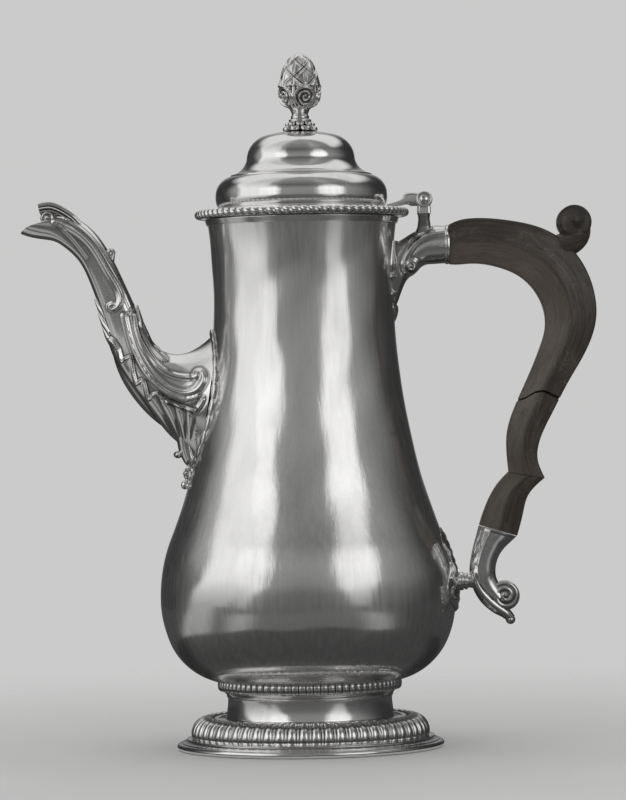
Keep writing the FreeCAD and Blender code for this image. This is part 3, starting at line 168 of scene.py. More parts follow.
SPOUT_TONGUE = (
    [(-52.6, 140.0), (-51.6, 134.4), (-51.0, 129.4), (-49.8, 124.8), (-48.6, 121.4)],
    [5.6, 4.2, 3.9, 3.0, 1.4], [7.4, 6.0, 5.2, 3.8, 1.4])
HINGE_POST = (
    [(52.8, 221.6), (52.8, 224.0), (52.8, 227.4), (52.8, 231.6)],
    [3.9, 2.9, 2.45, 2.9], [5.0, 4.6, 5.2, 7.1])
HINGE_CHEEK = ([(52.83, 229.6), (52.83, 232.4), (52.83, 235.0)], [2.9, 2.75, 2.6], [2.2, 2.2, 2.2])
LID_STRAP = (
    [(37.0, 233.2), (41.6, 234.3), (44.4, 235.2), (45.8, 235.9), (48.4, 236.0), (51.4, 235.7)],
    [0.8, 1.1, 1.5, 2.8, 3.0, 2.5], [2.45] * 6)
SOCKET_TAIL = (
    [(72.0, 76.0), (73.0, 69.6), (76.8, 63.4), (81.8, 58.9), (85.8, 56.0), (87.6, 54.0)],
    [1.6, 2.4, 3.0, 2.9, 2.3, 1.9], [4.6, 4.9, 4.9, 4.4, 3.6, 2.6])
THUMB = (
    [(100.0, 209.4), (108.6, 212.4), (114.8, 215.6), (118.4, 219.4), (118.2, 224.0)],
    [7.6, 6.8, 5.5, 5.9, 6.4], [3.0, 5.0, 6.6, 7.0, 6.9])

# Volutes seen from the side: middle (x, height), radius, half width, pitch of the spiral and its depth
SPOUT_VOLUTE = ((-109.4, 230.4), 3.3, 4.9, 2.0, 0.55)
DROP_VOLUTE = ((-51.6, 119.4), 1.6, 2.1, 1.2, 0.3)
UPPER_VOLUTE = ((46.7, 206.6), 2.7, 7.5, 1.8, 0.5)
LOWER_VOLUTE = ((84.9, 64.2), 6.3, 5.0, 2.7, 0.5)
THUMB_VOLUTE = ((117.5, 224.8), 7.4, 7.3, 8.0, 0.9)

# Knobs: middle and half sizes
TONGUE_KNOB = ((-55.2, 0.0, 127.4), (2.0, 4.2, 1.6))
DROP_BEADS = [((-51.2, 0.0, 118.9), (1.9, 1.9, 2.8)), ((-52.4, 0.0, 114.2), (1.8, 1.8, 1.9))]
DROP_LINK = ((-51.3, 0.0, 116.4), (1.0, 1.2, 0.7))
TAIL_KNOB = ((87.2, 0.0, 53.7), (2.1, 3.1, 2.0))

# Beaded wires: radius, height and half thickness of their beads
COLLAR_WIRE = (38.1, 27.7, 1.7)
LID_WIRE = (44.6, 230.45, 1.75)

# Hinge: middle of its pin (x, height) and half length across the pot, distance of the cheeks from the
# middle, where the outer knuckles begin and the middle one ends, and the pin's outline (radius, distance)
HINGE_OUT = 52.83
HINGE_UP = 235.55
HINGE_HALF = 7.5
CHEEK_ASIDE = 4.92
FORK_KNUCKLE = 2.72
STRAP_KNUCKLE = 2.5
HINGE_PIN = [
    (0.0, -HINGE_HALF - 0.9), (2.25, -HINGE_HALF + 0.1, 3.0), (1.3, -HINGE_HALF + 0.1),
    (1.3, HINGE_HALF - 0.1), (2.25, HINGE_HALF - 0.1), (0.0, HINGE_HALF + 0.9, 3.0)]

# Upper socket, upright slices: x, top, bottom, half width
UPPER_SOCKET = np.array([
    (37.0, 216.6, 186.0, 5.4), (39.0, 217.0, 188.0, 5.6), (41.0, 217.6, 192.0, 6.0),
    (44.0, 219.2, 199.5, 6.5), (48.0, 221.7, 203.6, 7.0), (52.0, 223.4, 207.0, 7.4),
    (56.0, 224.3, 207.8, 7.8), (60.0, 224.3, 208.0, 8.1), (63.4, 224.1, 208.1, 8.3)])
UPPER_SCROLL = [
    (62.0, 221.3), (55.0, 220.2), (49.0, 216.8), (45.2, 212.0), (43.6, 208.0), (44.5, 204.7), (47.0, 203.7),
    (49.4, 205.4), (49.1, 208.3), (46.9, 209.1), (45.5, 207.4), (46.6, 206.2)]
# Lower socket, pairs of edges in the side view: inner x, inner height, outer x, outer height, half width
LOWER_SOCKET = np.array([
    (74.1, 94.6, 90.4, 89.6, 8.1), (73.0, 90.6, 88.0, 87.4, 7.6), (71.8, 86.5, 85.6, 85.2, 7.0),
    (70.5, 81.0, 82.5, 80.9, 6.4), (69.8, 76.0, 81.1, 75.5, 5.8), (70.2, 71.0, 81.6, 71.4, 5.4),
    (72.4, 66.6, 83.6, 67.6, 5.2), (76.0, 62.8, 86.4, 63.6, 5.0)])
# Knopped strut, an outline (x, radius) turned round a level line, and the height of that line
STRUT = [
    (62.8, 0.3), (62.8, 3.3), (64.6, 2.6), (65.3, 3.6, -0.9), (66.3, 3.9, -0.8), (67.2, 3.6, -0.7),
    (67.4, 2.9), (68.0, 3.5, -0.6), (68.8, 3.5, -0.6), (69.2, 2.8), (73.0, 3.2), (73.0, 0.3)]
STRUT_HEIGHT = 70.6
# Plates laid on the body, upwards: height, stand from the body and half width
NECK_DROP = np.array([
    (183.0, 0.2, 0.6), (184.6, 1.1, 3.4), (187.0, 1.9, 5.6), (190.0, 1.9, 6.4), (193.6, 1.2, 6.0),
    (195.0, 2.6, 8.0), (196.4, 1.4, 7.0), (201.2, 1.5, 7.8), (202.5, 2.9, 9.2), (203.6, 1.7, 8.4),
    (206.0, 2.0, 8.6), (212.0, 2.2, 8.0), (218.0, 1.6, 7.0)])
CARTOUCHE = np.array([
    (57.5, 0.2, 1.5), (58.6, 0.8, 7.0), (60.5, 1.1, 13.0), (62.5, 1.4, 17.5), (65.0, 1.6, 20.5),
    (68.0, 1.8, 21.5), (71.0, 2.0, 20.5), (73.5, 2.0, 17.5), (76.0, 1.8, 13.0), (78.5, 1.6, 10.0),
    (81.0, 1.4, 10.5), (84.0, 1.3, 13.0), (87.0, 1.2, 14.0), (90.0, 1.0, 12.5), (92.6, 0.7, 8.5),
    (94.0, 0.2, 3.0)])

# Handle sections from the upper socket to the spur and from there to the lower socket: x, height, lean
# and half depth
HANDLE_ARM = np.array([
    (63.5, 216.2, 0.0, 8.5), (66.0, 216.7, 1.0, 9.2), (72.53, 217.5, 2.4, 9.7), (87.13, 216.0, 15.5, 10.3),
    (99.23, 211.9, 30.0, 11.4), (108.83, 203.6, 45.7, 12.0), (114.53, 191.6, 70.4, 11.5),
    (115.23, 181.0, 82.0, 11.0), (111.53, 169.6, 94.0, 9.9), (105.73, 158.2, 96.5, 8.8),
    (98.6, 144.0, 97.0, 8.2), (94.0, 132.0, 98.0, 7.1), (93.5, 123.2, 98.7, 6.6), (95.2, 116.2, 100.7, 7.8)])
HANDLE_TAIL = np.array([
    (95.2, 116.2, 100.7, 7.8), (90.6, 111.8, 97.0, 7.8), (87.5, 107.4, 94.5, 7.8), (84.9, 100.4, 96.5, 8.3),
    (82.45, 92.4, 107.0, 8.4)])
# Half width of the handle, and how much narrower each of its runs of sections begins
HANDLE_HALF_WIDTH = 8.4
HANDLE_NARROW = 0.7
# The joint in the wood: places in the depth from -1 inside to 1 outside, how far back along the handle its
# line lies at each, its height and the width of its gap
JOINT_SHARE = [-1.0, -0.7, -0.35, 0.0, 0.5, 1.0]
JOINT_SHIFT = [-3.4, -1.9, 1.2, 2.1, 0.8, -0.7]
JOINT_HEIGHT = 150.3
JOINT_GAP = 1.1
# Share of the handle's width and depth left between the lengths at the joint, dark as a shadow
JOINT_CORE = (0.74, 0.97)

# The stage, in metres: camera with its roll in degrees, lamps and the point they face, radius and middle
# height of the room, and the cloth's inner radius and height
CAMERA_AT = (0.0035, -1.70, 0.150)
CAMERA_ROLL = 1.0
KEY_AT = (-1.5, -1.0, 1.3)
FILL_AT = (1.5, -0.9, 1.0)
LAMPS_FACE = (0.0, 0.0, 0.12)
ROOM_REACH = 0.9
ROOM_MIDDLE = 0.11
CLOTH_START = 0.059
CLOTH_HEIGHT = 0.0006


def arc(start, end, radius, step):
    """Points after start on the circle of the given radius to end, turning left if it is positive."""
    chord = end - start
    length = np.hypot(*chord)
    left = np.array([-chord[1], chord[0]]) / length
    centre = (start + end) / 2 + left * np.copysign(np.sqrt(max(radius ** 2 - length ** 2 / 4, 0.0)), radius)
    first = np.arctan2(start[1] - centre[1], start[0] - centre[0])
    sweep = 2 * np.arcsin(min(length / 2 / abs(radius), 1.0)) * np.sign(radius)
    count = max(3, int(np.ceil(abs(sweep * radius) / step)) + 1)
    turn = first + np.linspace(0, sweep, count)[1:]
    return centre + abs(radius) * np.stack([np.cos(turn), np.sin(turn)], axis=1)


def outline(corners, step):
    """Path through corners: (x, y) ends a straight run and (x, y, radius) an arc, cut into steps."""
    path = [np.array([corners[0][:2]], float)]
    for corner in corners[1:]:
        start, end = path[-1][-1], np.array(corner[:2], float)
        if len(corner) == 3:
            path.append(arc(start, end, corner[2], step))
        else:
            count = max(2, int(np.ceil(np.hypot(*(end - start)) / step)) + 1)
            path.append(start + (end - start) * np.linspace(0, 1, count)[1:, None])
    return np.concatenate(path)


def spline(knots, values, where):
    """Natural cubic spline: the second slopes at the knots solve one tridiagonal system."""
    knots, values, where = np.asarray(knots, float), np.asarray(values, float), np.asarray(where, float)
    gaps = np.diff(knots)
    rows = np.arange(1, len(knots) - 1)
    system = np.eye(len(knots))
    system[rows, rows - 1] = gaps[:-1]
    system[rows, rows] = 2 * (gaps[:-1] + gaps[1:])
    system[rows, rows + 1] = gaps[1:]
    right = np.zeros_like(values)
    right[1:-1] = 6 * np.diff(np.diff(values, axis=0) / gaps[:, None], axis=0)
    bend = np.linalg.solve(system, right)
    index = np.clip(np.searchsorted(knots, where) - 1, 0, len(knots) - 2)
    gap = gaps[index][..., None]
    before = (where - knots[index])[..., None]
    after = gap - before
    cubic = (bend[index] * after ** 3 + bend[index + 1] * before ** 3) / (6 * gap)
    return (cubic + (values[index] / gap - bend[index] * gap / 6) * after
            + (values[index + 1] / gap - bend[index + 1] * gap / 6) * before)


def lengths(points):
    """Distance along a path to each of its points."""
    return np.concatenate([[0.0], np.cumsum(np.linalg.norm(np.diff(points, axis=0), axis=1))])


def through(points, count):
    """A path of count points on the spline through a few points, spaced by their distance apart."""
    points = np.asarray(points, float)
    knots = lengths(points)
    return spline(knots, points, np.linspace(0, knots[-1], count))


def distance(places, line):
    """Distance of each place from a path in the same plane: the least over its straight runs."""
    start, step = line[:-1], np.diff(line, axis=0)
    away = places[..., None, :] - start
    share = np.clip((away * step).sum(-1) / (step ** 2).sum(-1), 0, 1)
    return np.linalg.norm(away - share[..., None] * step, axis=-1).min(-1)


def inside(places, corners):
    """True where a place lies in a polygon: a level ray from it crosses an odd number of its sides."""
    x, y = places[..., None, 0], places[..., None, 1]
    x0, y0 = corners[:, 0], corners[:, 1]
    x1, y1 = np.roll(x0, -1), np.roll(y0, -1)
    rise = np.where(y1 == y0, 1e-9, y1 - y0)
    crossed = ((y0 > y) != (y1 > y)) & (x < x0 + (y - y0) / rise * (x1 - x0))
    return crossed.sum(-1) % 2 == 1


def step_up(value, low, high):
    """Smooth step from 0 at low to 1 at high."""
    share = np.clip((value - low) / (high - low), 0, 1)
    return share * share * (3 - 2 * share)


def line_rise(gap, half):
    """Rounded ridge: a bell of the distance from its middle line."""
    return np.exp(-(gap / half) ** 2 * 1.4)


def between(value, low, high, soft):
    """Smooth step up at low and down at high, each spread soft to either side."""
    return step_up(value, low - soft, low + soft) * (1 - step_up(value, high - soft, high + soft))


def circle(count, offset=0.0):
    """Angles of count equal steps round a circle, begun offset steps on."""
    return TAU * (np.arange(count) + offset) / count


def squared(turn, power):
    """Cosine and sine with their sizes raised to a power, which squares the circle if it is below 1."""
    return [np.sign(part) * np.abs(part) ** power for part in (np.cos(turn), np.sin(turn))]


def placed(x, y, z):
    """Points from their coordinates, each spread over the same grid."""
    return np.stack(np.broadcast_arrays(x, y, z), axis=-1)


def ring(radius, height, angle):
    """Points at radii and heights round the pot's axis."""
    return placed(radius * np.cos(angle), radius * np.sin(angle), height)


def closed(path):
    """A path that returns to its first point."""
    return np.concatenate([path, path[:1]])


BODY_PATH = outline(BODY_OUTER, 0.9)


def body_radius(height):
    """Radius of the body's outside at heights above its bottom."""
    return np.interp(height, BODY_PATH[:, 1], BODY_PATH[:, 0])


def kept_out(points):
    """Points moved outwards, level, so that none lies deeper than the sink inside the body's surface."""
    reach = np.hypot(points[..., 0], points[..., 1])
    least = body_radius(points[..., 2]) - SINK
    scale = np.maximum(least / np.maximum(reach, 1e-6), 1.0)
    return points * placed(scale, scale, 1.0)


class Form:
    """A mesh put together from grids of points, with a share of painted shade (on the silver also of
    tarnished silver) and a grain place at each point.
    """

    def __init__(self):
        self.points, self.faces, self.hollow, self.run = [], [], [], []
        self.count = 0

    def add(self, grid, hollow=0.0, run=(0.0, 0.0, 0.0), around=True):
        """Quads between neighbouring points of a (rows, columns, 3) grid, whose columns close if around."""
        rows, columns = grid.shape[:2]
        index = np.arange(rows * columns).reshape(rows, columns) + self.count
        if around:
            index = np.concatenate([index, index[:, :1]], axis=1)
        quads = np.stack([index[:-1, :-1], index[:-1, 1:], index[1:, 1:], index[1:, :-1]], axis=-1)
        self.faces.append(quads.reshape(-1, 4))
        self.points.append(grid.reshape(-1, 3))
        self.hollow.append(np.broadcast_to(hollow, (rows, columns)).reshape(-1))
        self.run.append(np.broadcast_to(run, (rows, columns, 3)).reshape(-1, 3))
        self.count += rows * columns
        return self

    def capped(self, grid, hollow=0.0, run=(0.0, 0.0, 0.0)):
        """A tube of rows closed at both ends by rows drawn together to their middles."""
        ends = [np.broadcast_to(row.mean(axis=0), row.shape)[None] for row in (grid[0], grid[-1])]
        hollow, run = [
            np.concatenate([mark[:1], mark, mark[-1:]]) if np.ndim(mark) > 1 else mark
            for mark in (hollow, run)]
        return self.add(np.concatenate([ends[0], grid, ends[1]]), hollow, run)

    def turn(self, corners, step, columns=COLUMNS):
        """A closed outline of corners carried round the pot's axis."""
        path = closed(outline(corners, step))
        return self.add(ring(path[:, :1], path[:, 1:], circle(columns)))

    def mesh(self, name, crease):
        """The grids as one mesh: doubled points welded, faces turned outwards, edges past crease sharp."""
        made = bpy.data.meshes.new(name)
        made.from_pydata(np.concatenate(self.points) * MM, [], np.concatenate(self.faces).tolist())
        # Painted shade at each point (on the silver also tarnished silver), for the materials to read
        depth = made.attributes.new("hollow", "FLOAT", "POINT")
        depth.data.foreach_set("value", np.concatenate(self.hollow).astype(np.float32))
        grain = made.attributes.new("run", "FLOAT_VECTOR", "POINT")
        grain.data.foreach_set("vector", np.concatenate(self.run).astype(np.float32).ravel())
        work = bmesh.new()
        work.from_mesh(made)
        bmesh.ops.remove_doubles(work, verts=work.verts, dist=1e-6)
        bmesh.ops.recalc_face_normals(work, faces=work.faces)
        work.to_mesh(made)
        work.free()
        made.shade_smooth()
        made.set_sharp_from_angle(angle=math.radians(crease))
        return made

    def piece(self, name, body, nodes, slot, material, crease=38.0, soften=0.0):
        """The mesh as a piece of the pot that rides on a body and stands for CAD nodes."""
        item = bpy.data.objects.new(name, self.mesh(name, crease))
        bpy.context.scene.collection.objects.link(item)
        item.data.materials.append(material)
        if soften:
            bevel = item.modifiers.new("soft edges", "BEVEL")
            bevel.width = soften * MM
            bevel.segments = 2
            bevel.limit_method = "ANGLE"
            bevel.angle_limit = math.radians(crease)
            bevel.harden_normals = True
        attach(item, body)
        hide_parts(*nodes)
        return item

    def in_cast(self, name, body, node, crease):
        """The mesh as a piece of cast silver."""
        return self.piece(name, body, [node], "cast_silver", cast(), crease)

    def in_raised(self, name, body, node, crease=38.0, soften=0.0):
        """The mesh as a piece of raised sheet silver."""
        return self.piece(name, body, [node], "raised_silver", raised(), crease, soften)


class Field:
    """One output of a material's nodes. Arithmetic on it adds Math nodes."""

    def __init__(self, finish, socket):
        self.finish, self.socket = finish, socket

    def maths(self, operation, *values):
        """A Math node that takes the values in turn."""
        return self.finish.node("ShaderNodeMath", {"operation": operation}, dict(enumerate(values)))

    def __add__(self, other):
        return self.maths("ADD", self, other)

    __radd__ = __add__

    def __sub__(self, other):
        return self.maths("SUBTRACT", self, other)

    def __rsub__(self, other):
        return self.maths("SUBTRACT", other, self)

    def __mul__(self, other):
        return self.maths("MULTIPLY", self, other)

    __rmul__ = __mul__


class Finish:
    """A node material in the making."""

    def __init__(self, owner):
        self.owner = owner
        owner.use_nodes = True
        self.tree = owner.node_tree
        self.tree.nodes.clear()

    def node(self, kind, settings=None, inputs=None, output=0):
        """A node of a kind with its settings made first, then the values or links of its sockets."""
        made = self.tree.nodes.new(kind)
        for name, value in (settings or {}).items():
            setattr(made, name, value)
        for key, value in (inputs or {}).items():
            if isinstance(value, Field):
                self.tree.links.new(value.socket, made.inputs[key])
            else:
                made.inputs[key].default_value = value
        return Field(self, made.outputs[output]) if len(made.outputs) else None

    def place(self, scale):
        """Object coordinates, stretched."""
        here = self.node("ShaderNodeTexCoord", output="Object")
        return self.node("ShaderNodeVectorMath", {"operation": "MULTIPLY"}, {0: here, 1: scale})

    def noise(self, where, detail=3.0, rough=0.5):
        """Cloudy noise from 0 to 1 at stretched coordinates."""
        return self.node("ShaderNodeTexNoise", {},
                         {"Vector": where, "Scale": 1.0, "Detail": detail, "Roughness": rough})

    def band(self, value, low, high):
        """Smooth step of a value from 0 at low to 1 at high."""
        return self.node("ShaderNodeMapRange", {"interpolation_type": "SMOOTHSTEP"},
                         {"Value": value, "From Min": low, "From Max": high})

    def mix(self, share, first, second):
        """Colour between two colours."""
        return self.node("ShaderNodeMix", {"data_type": "RGBA"}, {0: share, 6: first, 7: second}, output=2)

    def mark(self, name, output="Fac"):
        """A value kept with the mesh."""
        return self.node("ShaderNodeAttribute", {"attribute_name": name}, output=output)

    def bump(self, height, strength, depth, normal=None):
        """Normals tilted by a height, on top of earlier ones if they are given."""
        inputs = {"Height": height, "Strength": strength, "Distance": depth}
        if normal:
            inputs["Normal"] = normal
        return self.node("ShaderNodeBump", {}, inputs)


def opaque(colour, share=1.0):
    """A colour, or a darker share of it, that covers fully."""
    return [share * part for part in colour[:3]] + [1.0]


def silver(name, polish, wear, streak):
    """Hand-polished silver, from shares of the pot's polish and wear and the strength of its streaks.

    A bright polish is mixed with the haze of fine scratches. Clouds and specks of film dull it, upright
    streaks ripple it, and a near-black fills the recesses kept with the mesh, as painted shade and as
    tarnished silver."""
    if name in bpy.data.materials:
        return bpy.data.materials[name]
    look = bpy.context.scene.pot_look
    made = Finish(bpy.data.materials.new(name))
    clouds = made.noise(made.place((45.0, 45.0, 30.0)), 4.0, 0.55)
    streaks = made.noise(made.place((420.0, 420.0, 14.0)), 3.0, 0.6)
    specks = made.noise(made.place((1500.0, 1500.0, 1500.0)), 2.0, 0.6)
    scratch = made.noise(made.place((2600.0, 2600.0, 120.0)), 1.0, 0.5)
    # Painted shade in the recesses, broken by clouds; on the silver it also stands for tarnished silver there
    shade_and_tarnish = made.band(made.mark("hollow") + (clouds - 0.5) * 0.25, 0.25, 0.95)
    film = made.band(clouds, 0.48, 0.76) * 0.26 + made.band(specks, 0.6, 0.74) * 0.09
    filmed = made.mix(film, opaque(look.silver), opaque(look.silver, 0.62))
    shade = made.mix(shade_and_tarnish * 0.88, filmed, opaque(look.tarnish_and_shade))
    gloss = (look.polish * polish + (clouds - 0.5) * 0.1 + (streaks - 0.5) * streak * 0.2
             + made.band(scratch, 0.6, 0.72) * 0.05 + shade_and_tarnish * 0.3)
    ripple = made.bump(streaks * streak + clouds * 0.6, 0.25, 0.00035)
    normal = made.bump(scratch, 0.06, 0.00012, ripple)
    bright, veil = [
        made.node("ShaderNodeBsdfPrincipled", {}, {
            "Base Color": shade, "Metallic": 1.0, "Roughness": rough, "Normal": normal})
        for rough in (gloss, gloss + 0.3)]
    haze = look.wear * wear + (clouds - 0.5) * 0.5 + (streaks - 0.5) * streak
    surface = made.node("ShaderNodeMixShader", {}, {0: haze, 1: bright, 2: veil})
    made.node("ShaderNodeOutputMaterial", {}, {"Surface": surface})
    return made.owner


def worn():
    """The body's sheet silver, dulled by handling."""
    return silver("worn silver", 1.0, 1.0, 0.5)


def raised():
    """The sheet silver of the foot and lid."""
    return silver("raised silver", 1.0, 0.35, 0.3)


def cast():
    """The silver of the cast and chased pieces."""
    return silver("cast silver", 1.1, 0.28, 0.15)


def dark_wood():
    """Worn dark hardwood: long grain and pores along the handle, fine scores, crazing and rubbed patches.

    Its patterns follow the grain kept with the mesh: distance along the handle, depth and breadth. The
    handle's inner face is painted lighter, as light falls on it, and the mesh's painted shade darkens the
    joint's core and the volute's grooves."""
    name = "dark wood"
    if name in bpy.data.materials:
        return bpy.data.materials[name]
    look = bpy.context.scene.pot_look
    made = Finish(bpy.data.materials.new(name))
    run = made.mark("run", "Vector")

    def along(scale):
        """The grain's place, stretched."""
        return made.node("ShaderNodeVectorMath", {"operation": "MULTIPLY"}, {0: run, 1: scale})

    grain = made.noise(along((0.05, 1.1, 1.1)), 5.0, 0.6)
    pores = made.noise(along((0.16, 5.0, 5.0)), 2.0, 0.5)
    rubbed = made.noise(along((0.06, 0.12, 0.12)), 3.0, 0.55)
    scores = made.noise(along((1.4, 0.35, 0.35)), 2.0, 0.4)
    cracks = made.node("ShaderNodeTexVoronoi", {"feature": "DISTANCE_TO_EDGE"}, {
        "Vector": along((0.12, 0.3, 0.3)), "Scale": 1.0})
    pits = made.band(pores, 0.6, 0.72)
    nick = made.band(scores, 0.665, 0.70) * made.band(rubbed, 0.5, 0.62)
    craze = made.band(cracks + (pores - 0.5) * 0.12, 0.045, 0.0) * made.band(rubbed, 0.46, 0.6)
    inward = made.node("ShaderNodeSeparateXYZ", {}, {0: run}, output=1)
    # Painted light: the handle's inner face lighter, as light falls on it, broken by the rubbed patches
    painted_inner_light = made.band(inward + (rubbed - 0.5) * 5.0, 1.2, -2.6)
    tone = (made.band(grain, 0.3, 0.75) * 0.3 + made.band(rubbed, 0.42, 0.75) * 0.25 + painted_inner_light * 0.6
            + nick * 0.6 + craze * 0.45)
    shade = made.mix(tone, opaque(look.wood), opaque(look.wood_worn_and_lit))
    shade = made.mix(pits * 0.7, shade, opaque(look.wood, 0.35))
    # Painted shade from the mesh: the joint's core and the volute's grooves go near black
    shade = made.mix(made.mark("hollow"), shade, opaque(look.wood, 0.15))
    normal = made.bump(grain * 0.5 - pits * 0.6 - nick * 0.8, 0.35, 0.0003)
    surface = made.node("ShaderNodeBsdfPrincipled", {}, {
        "Base Color": shade, "Roughness": look.wood_gloss + (rubbed - 0.5) * 0.25 + pits * 0.2,
        "Coat Weight": made.band(rubbed, 0.35, 0.8) * 0.3, "Coat Roughness": 0.25, "Normal": normal})
    made.node("ShaderNodeOutputMaterial", {}, {"Surface": surface})
    return made.owner


def dress(material, *nodes):
    """Gives CAD nodes that stay as they are a finish."""
    for name in nodes:
        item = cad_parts[name]
        item.data.materials.clear()
        item.data.materials.append(material)


def beads(radius, height, size, count, lean=0.0, tall=1.0, least=0.34, square=1.0):
    """Ring of beads: a tube whose thickness swells and shrinks count times round it, each swell leaning.

    Tall stretches the beads upright, least is the share of their size left between them, and a square
    below 1 flattens their faces."""
    angle = circle(9 * count)
    turn = np.linspace(0, TAU, 15)[:, None]
    share = (count * angle / TAU + lean * np.sin(turn)) % 1.0
    arch = np.sqrt(np.maximum(1 - (2 * share - 1) ** 2, 0))
    swell = least + (1 - least) * arch
    out = radius + size * swell * squared(turn, square)[0]
    up = height + tall * size * (0.35 + 0.65 * swell) * np.sin(turn)
    # The second grid is painted shade between the beads
    return ring(out, up, angle), np.clip(0.9 - 0.9 * arch, 0, 1)


def ball(centre, sizes, rows=18, columns=28):
    """Ellipsoid: half sizes along the axes times the unit sphere."""
    up = np.linspace(-np.pi / 2, np.pi / 2, rows)[:, None]
    angle = circle(columns)
    unit = placed(np.cos(up) * np.cos(angle), np.cos(up) * np.sin(angle), np.sin(up))
    return np.asarray(centre) + np.asarray(sizes) * unit


def swept(line, depth, width, rows, columns, power=1.0):
    """Oval tube along a path in the plane of the spout and handle.

    The section at each point has its half depth along the path's normal in that plane and its half width
    across the pot. A power below 1 squares it."""
    line = np.asarray(line, float)
    knots = lengths(line)
    where = np.linspace(0, knots[-1], rows)
    middle = spline(knots, line, where)
    along = np.gradient(middle, axis=0)
    along /= np.linalg.norm(along, axis=1)[:, None]
    wide, high = squared(circle(columns), power)
    wide = wide * np.interp(where, knots, width)[:, None]
    high = high * np.interp(where, knots, depth)[:, None]
    return placed(middle[:, :1] - along[:, 1:] * high, wide, middle[:, 1:] + along[:, :1] * high)


def scroll(centre, radius, half, pitch, depth, columns=96, rows=26):
    """Volute seen from the side: a disc across the pot whose two faces carry a spiral ridge.

    The ridge's height is a cosine of the distance from the eye less a share of the angle, so its crest
    winds outwards by pitch a turn, depth above the groove beside it, from a small boss."""
    share = np.linspace(0, 1, rows)[:, None]
    angle = circle(columns)
    out = radius * share * np.ones_like(angle)
    wave = 0.5 + 0.5 * np.cos(TAU * (out / pitch - angle / TAU))
    face = half * np.sqrt(np.maximum(1 - 0.55 * share ** 4, 0))
    face = face - depth * (1 - wave) * step_up(1 - share, 0, 0.12)
    boss = depth * 1.4 * line_rise(out, pitch * 0.55)
    # Painted shade in the spiral's groove, fading out at the rim
    hollow = np.clip((1 - wave) * 0.9, 0, 1) * step_up(1 - share, 0, 0.1)
    near = placed(centre[0] + out * np.cos(angle), -(face + boss), centre[1] + out * np.sin(angle))
    far = near[::-1] * np.array([1.0, -1.0, 1.0])
    return np.concatenate([near, far]), np.concatenate([hollow, hollow[::-1]])


def applied(stations, rows, columns=25, veins=0.0):
    """Plate laid on the body at the handle's side, from stations of height, stand and half width.

    At each height its face bows out from the body by the stand times 1 less the fourth power of the share
    of its half width, with ribs beside its middle line. Its back lies just under the body's surface."""
    where = np.linspace(stations[-1, 0], stations[0, 0], rows)[:, None]
    lift, wide = np.maximum(spline(stations[:, 0], stations[:, 1:], where[:, 0]), 0.1).T[..., None]
    across = np.linspace(-1, 1, columns)
    bow = np.maximum(1 - across ** 4, 0)
    rib = veins * np.cos(3.0 * np.pi * np.abs(across)) * np.cos(0.9 * where) * bow
    reach = body_radius(where)
    front = reach + lift * bow + rib
    side = wide * across
    face = placed(np.sqrt(front ** 2 - side ** 2), side, where)
    back = placed(np.sqrt((reach - 0.3) ** 2 - side ** 2), side, where)
    # Painted shade between the ribs of the face; none on the back
    hollow = np.broadcast_to(np.clip(-rib * 2.2, 0, 1), (rows, columns))
    return np.concatenate([face, back[:, ::-1]], axis=1), np.concatenate([hollow, hollow * 0], axis=1)


def length_setting(name, description, default, most):
    """A small length that the panel shows."""
    return bpy.props.FloatProperty(
        name=name, description=description, default=default, min=0.0, max=most, precision=5, unit="LENGTH")


def count_setting(name, description, default):
    """A number of repeats round the pot."""
    return bpy.props.IntProperty(name=name, description=description, default=default, min=12, max=160)


def colour_setting(name, description, default):
    """A colour, without its cover."""
    return bpy.props.FloatVectorProperty(
        name=name, description=description, default=default, size=3, min=0.0, max=1.0, subtype="COLOR")


def share_setting(name, description, default):
    """A share from nothing to all."""
    return bpy.props.FloatProperty(
        name=name, description=description, default=default, min=0.0, max=1.0, subtype="FACTOR")


def power_setting(name, description, default):
    """The power of a lamp."""
    return bpy.props.FloatProperty(
        name=name, description=description, default=default, min=0.0, max=1000.0, unit="POWER")


class PotShape(bpy.types.PropertyGroup):
    """Sizes of the pot's dressing that a maker would vary."""

    raising: length_setting(
        "Raising marks", "Height of the soft waves left by hammering the body", 0.00012, 0.001)
    foot_lobes: count_setting("Foot gadroons", "Lobes round the shoulder of the foot", 60)
    collar_beads: count_setting("Collar beads", "Beads round the collar under the body", 78)
    lid_beads: count_setting("Lid beads", "Beads round the edge of the lid", 76)
    spout_relief: length_setting("Spout relief", "Height of the scrolls raised on the spout", 0.001, 0.002)
    bud_relief: length_setting(
        "Bud relief", "Height of the scales and medallions on the finial", 0.0011, 0.002)


class PotLook(bpy.types.PropertyGroup):
    """Colours and gloss of the pot's finishes."""

    silver: colour_setting("Silver", "Colour of the polished silver", (0.86, 0.855, 0.845))
    # Near-black of the recesses: painted shade, and tarnished silver as well
    tarnish_and_shade: colour_setting("Tarnish", "Colour of the silver left dark in recesses", (0.085, 0.08, 0.075))
    polish: share_setting("Polish", "Roughness of the polished silver", 0.085)
    wear: share_setting("Wear", "Share of the body's shine that scratches scatter", 0.36)
    wood: colour_setting("Wood", "Colour of the dark wood", (0.022, 0.017, 0.013))
    # Lighter wood: worn places, and the painted light on the handle's inner face
    wood_worn_and_lit: colour_setting("Rubbed wood", "Colour of the wood where it is worn", (0.09, 0.074, 0.06))
    wood_gloss: share_setting("Wood roughness", "Roughness of the wood", 0.42)


class PotStage(bpy.types.PropertyGroup):
    """Floor, background and light of the studio."""

    floor: colour_setting("Floor", "Colour of the floor", (0.62, 0.62, 0.615))
    backdrop: colour_setting("Backdrop", "Colour of the background", (0.597, 0.597, 0.595))
    window: bpy.props.FloatProperty(
        name="Window", description="Brightness of the window and lamps that the silver reflects",
        default=1.0, min=0.0, max=4.0)
    key: power_setting("Key lamp", "Power of the lamp at the left", 100.0)
    fill: power_setting("Fill lamp", "Power of the lamp at the right", 18.0)
    lens: bpy.props.FloatProperty(
        name="Lens", description="Focal length of the camera",
        default=177.0, min=20.0, max=400.0, unit="CAMERA")


